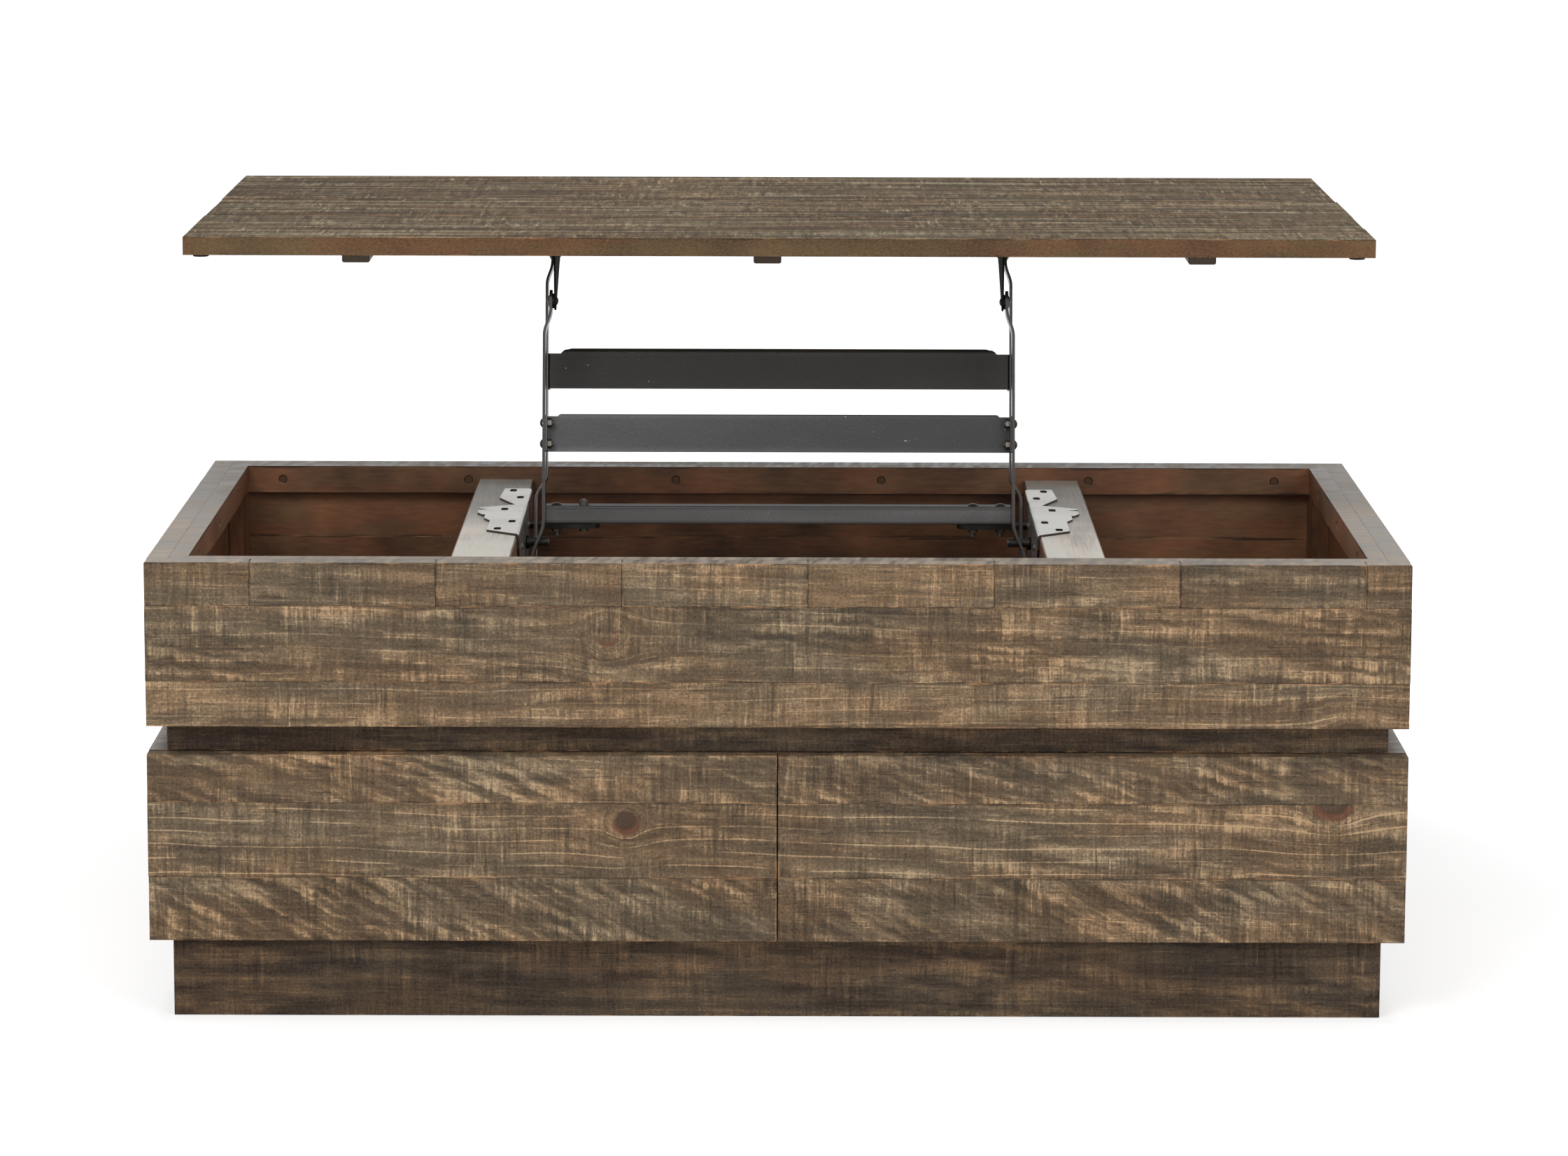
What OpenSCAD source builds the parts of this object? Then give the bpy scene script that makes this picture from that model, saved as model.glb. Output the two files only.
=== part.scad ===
// Lift top coffee table: a plank case on a plinth, two overlay drawers, and a lid that rises
// and moves back on a four-bar linkage.
// The origin is on the floor under the middle of the case, +Y points to the back and +Z up.
// The lid is drawn raised, with the linkage leaning back on its stops.

/* [Case] */
// Overall width of the case and the lid
case_w = 1270; // [1200:5:1330]
// Overall depth of the case and the lid
case_d = 711; // [705:1:740]
// Height of the plinth
plinth_h = 82; // [70:1:95]
// Setback of the plinth behind the case faces
plinth_inset = 22; // [15:1:35]
// Thickness of the plinth boards
plinth_t = 20; // [16:1:24]
// Height of the lower case that holds the drawers
lower_h = 193; // [185:1:220]
// Height of the shadow gap between the two boxes
recess_h = 28; // [22:1:36]
// Setback of the boards in the shadow gap
recess_inset = 19; // [15:1:30]
// Height of the upper box
upper_h = 167; // [160:1:190]
// Thickness of the upper box boards
upper_t = 22; // [20:1:24]
// Thickness of the lower case panels
lower_t = 20; // [18:1:22]
// Radius of the outer corners of the case
corner_r = 2.5; // [1:0.5:3]

/* [Upper box] */
// Thickness of the battens that line the rim
liner_t = 19; // [16:1:20]
// Height of the battens that line the rim
liner_h = 30; // [28:1:36]
// Width of the upright battens in the corners
corner_batten_w = 60; // [40:1:70]
// Thickness of the storage floor
floor_t = 12; // [9:1:15]
// Depth of the lift rails below the rim
rail_drop = 14.5; // [13:0.5:16]
// Width of the lift rails
rail_w = 61.5; // [55:0.5:70]
// Height of the lift rails
rail_h = 40; // [36:1:50]

/* [Drawers] */
// Thickness of the drawer fronts
front_t = 18.5; // [17:0.5:19]
// Gap behind the drawer fronts
front_back_gap = 2; // [1:0.5:3]
// Gap between the two drawer fronts
front_gap = 2; // [1.5:0.5:4]
// Length of the drawer boxes
drawer_len = 470; // [440:5:500]
// Height of the drawer boxes
drawer_h = 120; // [90:1:130]
// Thickness of the drawer box walls
drawer_wall_t = 12; // [10:1:15]
// Thickness of the drawer bottoms
drawer_bottom_t = 6; // [5:0.5:8]
// Thickness of the divider between the drawers
divider_t = 18; // [16:1:22]
// Room that a drawer slide takes on each side
slide_w = 12.7; // [12.5:0.1:14]
// Height of the drawer slides
slide_h = 45; // [40:1:46]
// Length of the drawer slides
slide_len = 450; // [400:5:480]

/* [Lid] */
// Thickness of the lid
lid_t = 19.5; // [18:0.5:22]
// Height of the lid bumpers
bumper_h = 3; // [2.5:0.5:4]
// Radius of the lid bumpers
bumper_r = 8.5; // [6:0.5:10]
// Width of the stiffening channels under the lid
channel_w = 30; // [24:1:32]
// Height of the stiffening channels under the lid
channel_h = 14; // [10:1:14]
// Distance of the outer channels from the middle of the lid
channel_x = 455; // [420:5:500]

/* [Lift linkage] */
// Distance between the two pivots of an arm
arm_len = 340; // [330:1:345]
// Backward lean of the raised arms
arm_lean = 12; // [10:0.5:12]
// Turn of the arms from raised to closed
arm_travel = 90; // [89:0.5:90]
// Width of the arm strip
arm_w = 24; // [20:1:26]
// Thickness of the arm strip
arm_t = 3; // [2.5:0.5:3]
// Distance of the front base pivot from the front face
pivot_y = 402; // [400:1:404]
// Distance of the rear pivots behind the front pivots
link_back = 100; // [95:1:105]
// Height of the rear pivots above the front pivots
link_up = 41; // [38:1:42]
// Depth of the front lid pivot below the lid
lid_pivot_drop = 56; // [54:1:58]
// Radius of the pivot pins
pin_r = 4; // [3.5:0.5:4.5]
// Running clearance round the pins of the closed chain
pin_clearance = 0.06; // [0.04:0.01:0.1]
// Clearance in the rear lid pivot, where the loop closes
loop_clearance = 0.25; // [0.2:0.05:0.4]

/* [Brackets and bars] */
// Plate thickness of the base brackets
base_plate_t = 2.5; // [2:0.5:3]
// Plate thickness of the lid brackets
lid_plate_t = 2; // [2:0.5:2.5]
// Plate thickness of the crossbars
bar_t = 2; // [1.5:0.5:2.5]
// Height of the crossbar faces
bar_h = 38.5; // [34:0.5:42]
// Place of the front crossbar along its arms
front_bar_s = 197; // [190:1:205]
// Place of the rear crossbar along its arms
rear_bar_s = 210; // [205:1:220]
// Size of the square base bar
base_bar = 20; // [18:1:20]
// Width of the bolt tongues under the base bar
tongue_w = 24; // [20:1:24]

/* [Hidden] */
$fn = 48;
// Straight edges that meet a circle end this far inside it, so that the two cross cleanly
tuck = 0.05;

// Heights above the floor
lower_z = plinth_h;
recess_z = lower_z + lower_h;
upper_z = recess_z + recess_h;
rim_z = upper_z + upper_h;
storage_z = upper_z + floor_t;
liner_z = rim_z - liner_h;
rail_top = rim_z - rail_drop;

// Half widths and the planes of the front and back faces
half_w = case_w / 2;
y_front = -case_d / 2;
y_back = case_d / 2;
inner_x = half_w - upper_t;
liner_x = inner_x - liner_t;
inner_y = y_back - upper_t - liner_t;
plinth_x = half_w - plinth_inset;
recess_x = half_w - recess_inset;
lower_x = half_w - lower_t;
carcass_y = y_front + front_t + front_back_gap;

// Plank heights from the top edge down, and how far each plank stands back or stops short
upper_planks = [for (f = [44, 77, 46]) f * upper_h / 167];
front_planks = [for (f = [49, 77, 65.4]) f * (lower_h - 1.6) / 191.4];
lower_planks = [for (f = [50, 77, 66]) f * lower_h / 193];
lid_planks = [for (f = [118, 117, 92, 93, 145, 146]) f * case_d / 711];
plank_back = [0, 0.5, 0.2];
plank_short = [0.2, 0, 0.3];
lid_plank_left = [0.6, 0, 2.2, 2.2, 0.5, 0];
lid_plank_right = [0, 0.7, 0.4, 0, 2.4, 2.0];
lid_plank_low = [0, 0.3, 0, 0.4, 0.1, 0.3];
// Upright butt joints in the top plank of the upper front
joint_pitch = 186.5;
joint_first = -529.5;
joint_w = 1.4;
joint_d = 0.9;

// Lift geometry, with the lid closed bumper_h and a hair above the rim
closed_gap = 0.3;
rise = arm_len * (cos(arm_lean) - cos(arm_lean - arm_travel));
setback = arm_len * (sin(arm_lean) - sin(arm_lean - arm_travel));
lid_z = rim_z + bumper_h + closed_gap + rise;
lid_y = y_front + setback;
tip_y = arm_len * sin(arm_lean);
tip_z = arm_len * cos(arm_lean);
pivot_a = [y_front + pivot_y, lid_z - lid_pivot_drop - tip_z];
pivot_b = pivot_a + [link_back, link_up];
pivot_c = pivot_a + [tip_y, tip_z];
pivot_e = pivot_b + [tip_y, tip_z];

// Planes of the linkage across the table, measured from the middle
flange_x = 271.5;
rail_x = flange_x + base_plate_t;
arm_low_x = 264.5;
front_arm_x = 252.5;
front_arm_top_x = 245.5;
rear_arm_x = 253.5;
rear_arm_top_x = 247.5;
lid_flange_x = 240;
arm_side_play = 0.15;
bend_steps = 8;

// Base bracket, in distances from the front face and below the rim
plate_drop = rail_drop - base_plate_t;
fold_r = 4;
bracket_front = 265;
bracket_rear = 585;
bracket_nose = 28;
bracket_eye_r = 18;
bracket_outline = [[302, 585], [304.5, 517], [285.5, 468], [322.5, 446], [322.5, 438], [312, 434],
    [322.5, 430], [323, 411], [317, 397], [314, 397], [314, 373], [307, 356], [307, 292]];
slot_places = [[292, 571], [282, 520], [295, 435], [283, 350], [296, 300]];
slot_w = 7.5;
slot_half = 5;
slot_recess = 12;
flange_screws = [for (y = [320, 470]) [y_front + y, rail_top - rail_h / 2]];
tongue_t = 5;
tongue_reach = 78;
tongue_y = 540;
tongue_drop = 43;
tongue_bolts = [243.5, 213.5];
upright_bolts = [tongue_bolts[0], tongue_bolts[1], -tongue_bolts[0]];
bolt_tip = 9;
base_bar_wall = 1.5;
base_bar_x = 254.5;

// Fasteners
bolt_r = 3;
head_r = 5.25;
dome_h = 3.2;
nut_h = 4.6;
nut_r = 5.2;
bolt_pitch = 22.5;
washer_r = 7.2;
stop_pin_r = 4.5;
stop_pin_s = 80;
stop_pin_x = [246.5, 270];
wood_screw_r = 2;
wood_head_r = 4.2;
wood_head_h = 2;
counterbore_r = 5;
counterbore_d = 4;
liner_screw_x = [-555, -347, -115, 115, 347, 555];
side_screw_y = [-210, 0, 210];

// Lid fittings
bumper_in = 18;
channel_t = 1.8;
channel_margin = 60;
channel_places = [-channel_x, -12.5, channel_x];
channel_screw_count = 5;
channel_screw_shift = [4, -0.5, -4];
lid_bracket_lip = 24;
lid_bracket_front = 50;
lid_bracket_rear = 196;
lid_bracket_eye_r = 10;
lid_screw_y = [62, 104, 146, 186];

// Drawers
bay_x0 = divider_t / 2;
bay_mid = (bay_x0 + lower_x) / 2;
drawer_half = (lower_x - bay_x0) / 2 - slide_w;
drawer_z = lower_z + lower_t + 10;
drawer_y = y_front + front_t;
groove_d = 5;
bottom_up = 10;
slide_z = drawer_z + drawer_h / 2;
slide_y = carcass_y + 4;
slide_sheet = 1.4;
slide_play = 0.3;
slide_lip = 8;
slide_step = 2.4;
middle_h = slide_h - 2 * (slide_sheet + slide_play);
inner_h = middle_h - 2 * (slide_sheet + slide_play);

// Finishes
face_wood = "#7d6a55";
plinth_wood = "#5a4a3d";
inner_wood = "#6b4331";
lid_wood = "#6e5c47";
drawer_wood = "#8a6f52";
black_steel = "#33322f";
grey_steel = "#a3a19c";
zinc = "#c9c8c2";
rubber = "#2a2522";

// ---- Shapes that repeat ----

module both_sides() {
    children();
    mirror([1, 0, 0]) children();
}

// A box between two opposite corners
module board(low, high) translate(low) cube(high - low);

// A rectangle whose two corners at the low y edge are rounded
module eased_plan(x0, x1, y0, y1, r) {
    translate([x0 + r, y0]) square([x1 - x0 - 2 * r, y1 - y0]);
    translate([x0, y0 + r]) square([x1 - x0, y1 - y0 - r]);
    for (x = [x0 + r, x1 - r]) translate([x, y0 + r]) circle(r);
}

// A rectangle rounded at all four corners
module rounded_plan(w, h, r) {
    square([w - 2 * r, h], center = true);
    square([w, h - 2 * r], center = true);
    for (x = [-1, 1], y = [-1, 1]) translate([x * (w / 2 - r), y * (h / 2 - r)]) circle(r);
}

// The sum of the first n numbers of a list
function sum_to(list, n) = n <= 0 ? 0 : list[n - 1] + sum_to(list, n - 1);

// Planks stacked from z_top down; the outer face is at y = 0 and the back at y = t
module plank_wall(x0, x1, t, z_top, planks, r) {
    for (i = [0:len(planks) - 1]) {
        short = plank_short[i % 3];
        translate([0, 0, z_top - sum_to(planks, i + 1)])
            linear_extrude(planks[i])
                eased_plan(x0 + short, x1 - short, plank_back[i % 3], t, r);
    }
}

// Planks of a side wall between two y planes; the outer face is at x = half_w
module side_planks(y0, y1, t, z_top, planks) {
    for (i = [0:len(planks) - 1])
        board([half_w - t, y0, z_top - sum_to(planks, i + 1)],
              [half_w - 0.4 - plank_back[i % 3], y1, z_top - sum_to(planks, i)]);
}

// A strip with round ends between two points of the YZ plane, as a flat outline
module link_outline(p, q, r) {
    d = q - p;
    translate(p) circle(r);
    translate(q) circle(r);
    translate(p) rotate(atan2(d[1], d[0])) translate([0, -r]) square([norm(d), 2 * r]);
}

// Where the tangent from p touches the circle at c, on the chosen side
function tangent(p, c, r, side) =
    let (d = c - p, in = r - tuck, a = atan2(d[1], d[0]) + side * asin(in / norm(d)))
    p + sqrt(norm(d) * norm(d) - in * in) * [cos(a), sin(a)];

// Turns an outline drawn in (y, z) into a plate between two x planes
module plate_yz(x0, x1) translate([x0, 0, 0]) rotate([90, 0, 90]) linear_extrude(x1 - x0) children();

// Turns an outline drawn in (x, z) into a bar between two y planes
module plate_xz(y0, y1) translate([0, y1, 0]) rotate([90, 0, 0]) linear_extrude(y1 - y0) children();

// A rod along X between two x planes, centred at y, z
module rod_x(x0, x1, r, y = 0, z = 0)
    translate([x0, y, z]) rotate([0, 90, 0]) cylinder(r = r, h = x1 - x0);

// A domed head on the plane x = 0 that stands out towards +X
module dome_x(r, h) {
    ball = (r * r + h * h) / (2 * h);
    rotate([0, 90, 0]) rotate_extrude()
        intersection() {
            translate([0, h - ball]) circle(ball, $fn = 96);
            square([r, h]);
        }
}

// A hexagonal nut that stands on the plane z = 0
module hex_nut() difference() {
    cylinder(r = nut_r, h = nut_h, $fn = 6);
    translate([0, 0, -1]) cylinder(r = bolt_r, h = nut_h + 2);
}

// The frame of an arm: y runs across the strip, z along it from its base pivot
module arm_frame(pivot) translate([0, pivot[0], pivot[1]]) rotate([-arm_lean, 0, 0]) children();

// ---- Case ----

module plinth_front() color(plinth_wood)
    linear_extrude(plinth_h)
        eased_plan(-plinth_x, plinth_x, y_front + plinth_inset, y_front + plinth_inset + plinth_t,
                   corner_r);

module plinth_back() color(plinth_wood)
    mirror([0, 1, 0]) linear_extrude(plinth_h)
        eased_plan(-plinth_x, plinth_x, y_front + plinth_inset, y_front + plinth_inset + plinth_t,
                   corner_r);

module plinth_sides() color(plinth_wood) both_sides() {
    inner = y_back - plinth_inset - plinth_t;
    board([plinth_x - plinth_t, -inner, 0], [plinth_x, inner, plinth_h]);
}

module plinth_cross_rail() color(plinth_wood) {
    inner = y_back - plinth_inset - plinth_t;
    board([-plinth_t / 2, -inner, 0], [plinth_t / 2, inner, plinth_h]);
}

module lower_bottom() color(plinth_wood)
    board([-lower_x, carcass_y, lower_z], [lower_x, y_back - lower_t, lower_z + lower_t]);

module lower_side_right() color(face_wood)
    side_planks(carcass_y, y_back, lower_t, recess_z, lower_planks);

module lower_side_left() mirror([1, 0, 0]) lower_side_right();

module lower_back() color(face_wood)
    translate([0, y_back, 0]) mirror([0, 1, 0])
        plank_wall(-lower_x, lower_x, lower_t, recess_z, lower_planks, corner_r);

module lower_top() color(plinth_wood)
    board([-lower_x, carcass_y, recess_z - lower_t], [lower_x, y_back - lower_t, recess_z]);

module drawer_divider() color(drawer_wood)
    board([-divider_t / 2, carcass_y, lower_z + lower_t],
          [divider_t / 2, y_back - lower_t, recess_z - lower_t]);

module recess_boards() color(plinth_wood) {
    y0 = y_front + recess_inset;
    inner = -y0 - lower_t - 0.2;
    for (flip = [0, 1]) mirror([0, flip, 0])
        board([-recess_x, y0, recess_z], [recess_x, y0 + lower_t, upper_z]);
    both_sides() board([recess_x - lower_t, -inner, recess_z], [recess_x, inner, upper_z]);
}

module storage_floor() color(inner_wood)
    board([-inner_x, y_front + upper_t, upper_z], [inner_x, y_back - upper_t, storage_z]);

module upper_front() color(face_wood) translate([0, y_front, 0])
    difference() {
        plank_wall(-half_w, half_w, upper_t, rim_z, upper_planks, corner_r);
        for (i = [0:6])
            translate([joint_first + i * joint_pitch, 0, rim_z - upper_planks[0]])
                linear_extrude(upper_planks[0] + 1)
                    polygon([[-joint_w / 2, -1], [-joint_w / 2, 0], [0, joint_d],
                             [joint_w / 2, 0], [joint_w / 2, -1]]);
    }

module upper_back() color(face_wood) translate([0, y_back, 0]) mirror([0, 1, 0])
    plank_wall(-half_w, half_w, upper_t, rim_z, upper_planks, corner_r);

module upper_side_right() color(face_wood)
    side_planks(y_front + upper_t, y_back - upper_t, upper_t, rim_z, upper_planks);

module upper_side_left() mirror([1, 0, 0]) upper_side_right();

// A counterbore and pilot hole into the plane y = 0, running towards +Y
module screw_hole(depth) rotate([-90, 0, 0]) {
    translate([0, 0, -1]) cylinder(r = counterbore_r, h = counterbore_d + 1);
    cylinder(r = wood_screw_r, h = depth);
}

// A screw that sits in such a hole
module wood_screw(depth) rotate([-90, 0, 0]) {
    translate([0, 0, counterbore_d - wood_head_h]) cylinder(r = wood_head_r, h = wood_head_h);
    translate([0, 0, counterbore_d]) cylinder(r = wood_screw_r, h = depth - counterbore_d - 0.2);
}

// Children stand at each screw of the front and back liners, facing into the box
module at_liner_screws() for (flip = [0, 1], x = liner_screw_x)
    mirror([0, flip, 0]) translate([x, inner_y, rim_z - liner_h / 2]) children();

// Children stand at each screw of the side liners
module at_side_screws() both_sides() for (y = side_screw_y)
    translate([liner_x, y, rim_z - liner_h / 2]) rotate([0, 0, -90]) children();

module rim_liner_back() color(inner_wood)
    difference() {
        board([-inner_x, inner_y, liner_z], [inner_x, y_back - upper_t, rim_z]);
        at_liner_screws() screw_hole(liner_t + 1);
    }

module rim_liner_front() mirror([0, 1, 0]) rim_liner_back();

module rim_liner_sides() color(inner_wood) both_sides()
    difference() {
        board([liner_x, -inner_y, liner_z], [inner_x, inner_y, rim_z]);
        at_side_screws() screw_hole(liner_t + 1);
    }

module corner_battens() color(inner_wood) both_sides() for (flip = [0, 1]) mirror([0, flip, 0])
    board([liner_x, y_back - upper_t - corner_batten_w, storage_z],
          [inner_x, y_back - upper_t, liner_z]);

// The slots of the base plate, in distances from the middle and from the front face
module slots() for (p = slot_places) link_outline(p - [0, slot_half], p + [0, slot_half], slot_w / 2);

// The rail hooks under the rim liners, its top corners are eased for the bracket's fold, and it is
// recessed under the slots of the base plate
module lift_rail_right() color(inner_wood) {
    ease = fold_r - base_plate_t;
    difference() {
        plate_xz(-inner_y, inner_y)
            polygon([[rail_x, rail_top - rail_h], [rail_x + rail_w, rail_top - rail_h],
                     [rail_x + rail_w, rail_top - ease], [rail_x + rail_w - ease, rail_top],
                     [rail_x + ease, rail_top], [rail_x, rail_top - ease]]);
        translate([0, y_front, rail_top - slot_recess]) linear_extrude(slot_recess + 1) slots();
    }
    for (flip = [0, 1]) mirror([0, flip, 0])
        board([rail_x, inner_y, rail_top - rail_h], [rail_x + rail_w, y_back - upper_t, liner_z]);
}

module lift_rail_left() mirror([1, 0, 0]) lift_rail_right();

module liner_screws() color(zinc) {
    at_liner_screws() wood_screw(liner_t);
    at_side_screws() wood_screw(liner_t);
}

// ---- Lift bracket on the case ----

// Side outline of the hanging flange, in distances behind the front face and heights
module flange_outline() {
    top = rim_z - plate_drop - fold_r;
    a = pivot_a;
    b = pivot_b;
    nose = [y_front + bracket_front, rim_z - bracket_nose];
    heel = [y_front + tongue_y - tongue_w / 2, rim_z - tongue_drop - tongue_t];
    tail = y_front + bracket_rear;
    span = (b - a) / norm(b - a);
    under = (bracket_eye_r - tuck) * [span[1], -span[0]];
    difference() {
        union() {
            polygon([[nose[0], top], nose, tangent(nose, a, bracket_eye_r, -1), a + under, b + under,
                     tangent(heel, b, bracket_eye_r, 1), heel, [tail, heel[1]], [tail, top]]);
            for (p = [a, b]) translate(p) circle(bracket_eye_r);
        }
        for (p = [a, b]) translate(p) circle(pin_r);
        for (p = flange_screws) translate(p) circle(wood_screw_r);
    }
}

module base_bracket_right() color(grey_steel) {
    plate_z = rim_z - plate_drop;
    fold_x = flange_x + fold_r;
    y0 = y_front + bracket_front;
    y1 = y_front + bracket_rear;
    translate([0, y_front, plate_z - base_plate_t])
        linear_extrude(base_plate_t) difference() {
            polygon(concat([[fold_x, bracket_rear]], bracket_outline, [[fold_x, bracket_front]]));
            slots();
        }
    plate_xz(y0, y1) translate([fold_x, plate_z - fold_r])
        intersection() {
            difference() {
                circle(fold_r);
                circle(fold_r - base_plate_t);
            }
            translate([-fold_r, 0]) square(fold_r);
        }
    plate_yz(flange_x, rail_x) flange_outline();
    // Tongue under the base bar, with a round end and two bolt holes
    translate([0, y_front + tongue_y, rim_z - tongue_drop - tongue_t]) linear_extrude(tongue_t)
        difference() {
            x0 = rail_x - tongue_reach + tongue_w / 2;
            union() {
                translate([x0, -tongue_w / 2]) square([rail_x - x0, tongue_w]);
                translate([x0, 0]) circle(tongue_w / 2);
            }
            for (x = tongue_bolts) translate([x, 0]) circle(bolt_r);
        }
    // Stop lug behind the stop pin of the front arm
    arm_frame(pivot_a) translate([stop_pin_x[1] - 3, stop_pin_r + 0.2, stop_pin_s - 7])
        cube([flange_x - stop_pin_x[1] + 3.5, 5, 14]);
}

module base_bracket_left() mirror([1, 0, 0]) base_bracket_right();

module bracket_screws() color(zinc) both_sides() for (p = flange_screws) {
    translate([flange_x, p[0], p[1]]) mirror([1, 0, 0]) dome_x(wood_head_r, wood_head_h);
    rod_x(flange_x, rail_x, wood_screw_r, p[0], p[1]);
}

module base_bar() color(black_steel)
    translate([-base_bar_x, y_front + tongue_y, rim_z - tongue_drop + base_bar / 2])
        difference() {
            rotate([90, 0, 90]) linear_extrude(2 * base_bar_x) difference() {
                rounded_plan(base_bar, base_bar, 2.5);
                rounded_plan(base_bar - 2 * base_bar_wall, base_bar - 2 * base_bar_wall, 1);
            }
            for (x = tongue_bolts, side = [-1, 1])
                translate([base_bar_x + side * x, 0, -base_bar]) cylinder(r = bolt_r, h = 2 * base_bar);
        }

// Children stand at a bolt of the base bar, on the top of the tongue
module at_tongue_bolt(x) translate([x, y_front + tongue_y, rim_z - tongue_drop]) children();

// Three bolts go in from above; the inner bolt on the left comes from below
module base_bar_bolts() color(zinc) {
    for (x = upright_bolts) at_tongue_bolt(x) {
        translate([0, 0, -tongue_t - bolt_tip]) cylinder(r = bolt_r, h = base_bar + tongue_t + bolt_tip);
        translate([0, 0, base_bar]) rotate([0, -90, 0]) dome_x(washer_r, 2.4);
    }
    at_tongue_bolt(-tongue_bolts[1]) translate([0, 0, -tongue_t]) {
        translate([0, 0, -nut_h]) cylinder(r = nut_r, h = nut_h, $fn = 6);
        cylinder(r = bolt_r, h = base_bar + tongue_t + nut_h + 1.5);
    }
}

module base_bar_nuts() color(zinc) {
    for (x = upright_bolts) at_tongue_bolt(x) translate([0, 0, -tongue_t - nut_h]) hex_nut();
    at_tongue_bolt(-tongue_bolts[1]) translate([0, 0, base_bar]) hex_nut();
}

// A shouldered rivet along X: small head, neck through the plate, shoulder, neck, broad head
module shoulder_rivet(plate, arm, r_plate_head, r_shoulder, r_arm_head) {
    out = plate[1] > arm[1] ? 1 : -1;
    plate_face = out > 0 ? plate[1] : plate[0];
    arm_face = out > 0 ? arm[0] - arm_side_play : arm[1] + arm_side_play;
    shoulder_end = out > 0 ? arm[1] + arm_side_play : arm[0] - arm_side_play;
    plate_inner = out > 0 ? plate[0] : plate[1];
    ends = [plate_face + out, arm_face - out];
    rod_x(min(ends), max(ends), pin_r);
    translate([plate_face, 0, 0]) mirror([out > 0 ? 0 : 1, 0, 0]) dome_x(r_plate_head, 2.5);
    rod_x(min(plate_inner, shoulder_end), max(plate_inner, shoulder_end), r_shoulder);
    translate([arm_face, 0, 0]) mirror([out > 0 ? 1 : 0, 0, 0]) dome_x(r_arm_head, 3);
}

module base_pivot_pins() color(zinc) both_sides() for (p = [pivot_a, pivot_b])
    translate([0, p[0], p[1]])
        shoulder_rivet([flange_x, rail_x], [arm_low_x - arm_t / 2, arm_low_x + arm_t / 2],
                       washer_r, 8, washer_r);

// ---- Arms ----

// Smooth step of the strip from one plane to another between s0 and s1
function joggle(s0, s1, x0, x1) =
    [for (i = [0:bend_steps])
        let (t = i / bend_steps) [x0 + (x1 - x0) * (1 - cos(180 * t)) / 2, s0 + (s1 - s0) * t]];

// A strip on the +X side that steps between the planes low_x, mid_x and top_x
module arm(low_x, mid_x, top_x, low_s, high_s, top_r, holes, hole_r) {
    line = concat([[low_x, -arm_w]], joggle(low_s[0], low_s[1], low_x, mid_x),
                  joggle(high_s[0], high_s[1], mid_x, top_x), [[top_x, arm_len + arm_w]]);
    n = len(line);
    intersection() {
        plate_yz(lid_flange_x, flange_x) difference() {
            link_outline([0, 0], [0, arm_len], arm_w / 2);
            circle(pin_r + pin_clearance);
            translate([0, arm_len]) circle(top_r);
            for (s = holes) translate([0, s]) circle(hole_r);
        }
        plate_xz(-arm_w, arm_w)
            polygon(concat([for (i = [0:n - 1]) line[i] - [arm_t / 2, 0]],
                           [for (i = [n - 1:-1:0]) line[i] + [arm_t / 2, 0]]));
    }
}

function pair_at(s) = [s - bolt_pitch / 2, s + bolt_pitch / 2];

module front_arm_right() color(black_steel) arm_frame(pivot_a)
    difference() {
        arm(arm_low_x, front_arm_x, front_arm_top_x, [60, 102], [303, 331],
            pin_r + pin_clearance, pair_at(front_bar_s), bolt_r);
        rod_x(stop_pin_x[0] - 1, stop_pin_x[1] + 1, stop_pin_r, 0, stop_pin_s);
    }

module front_arm_left() mirror([1, 0, 0]) front_arm_right();

module rear_arm_right() color(black_steel) arm_frame(pivot_b)
    arm(arm_low_x, rear_arm_x, rear_arm_top_x, [70, 96], [305, 330],
        pin_r + loop_clearance, pair_at(rear_bar_s), bolt_r);

module rear_arm_left() mirror([1, 0, 0]) rear_arm_right();

module stop_pins() color(black_steel) arm_frame(pivot_a) both_sides()
    rod_x(stop_pin_x[0], stop_pin_x[1], stop_pin_r, 0, stop_pin_s);

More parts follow.
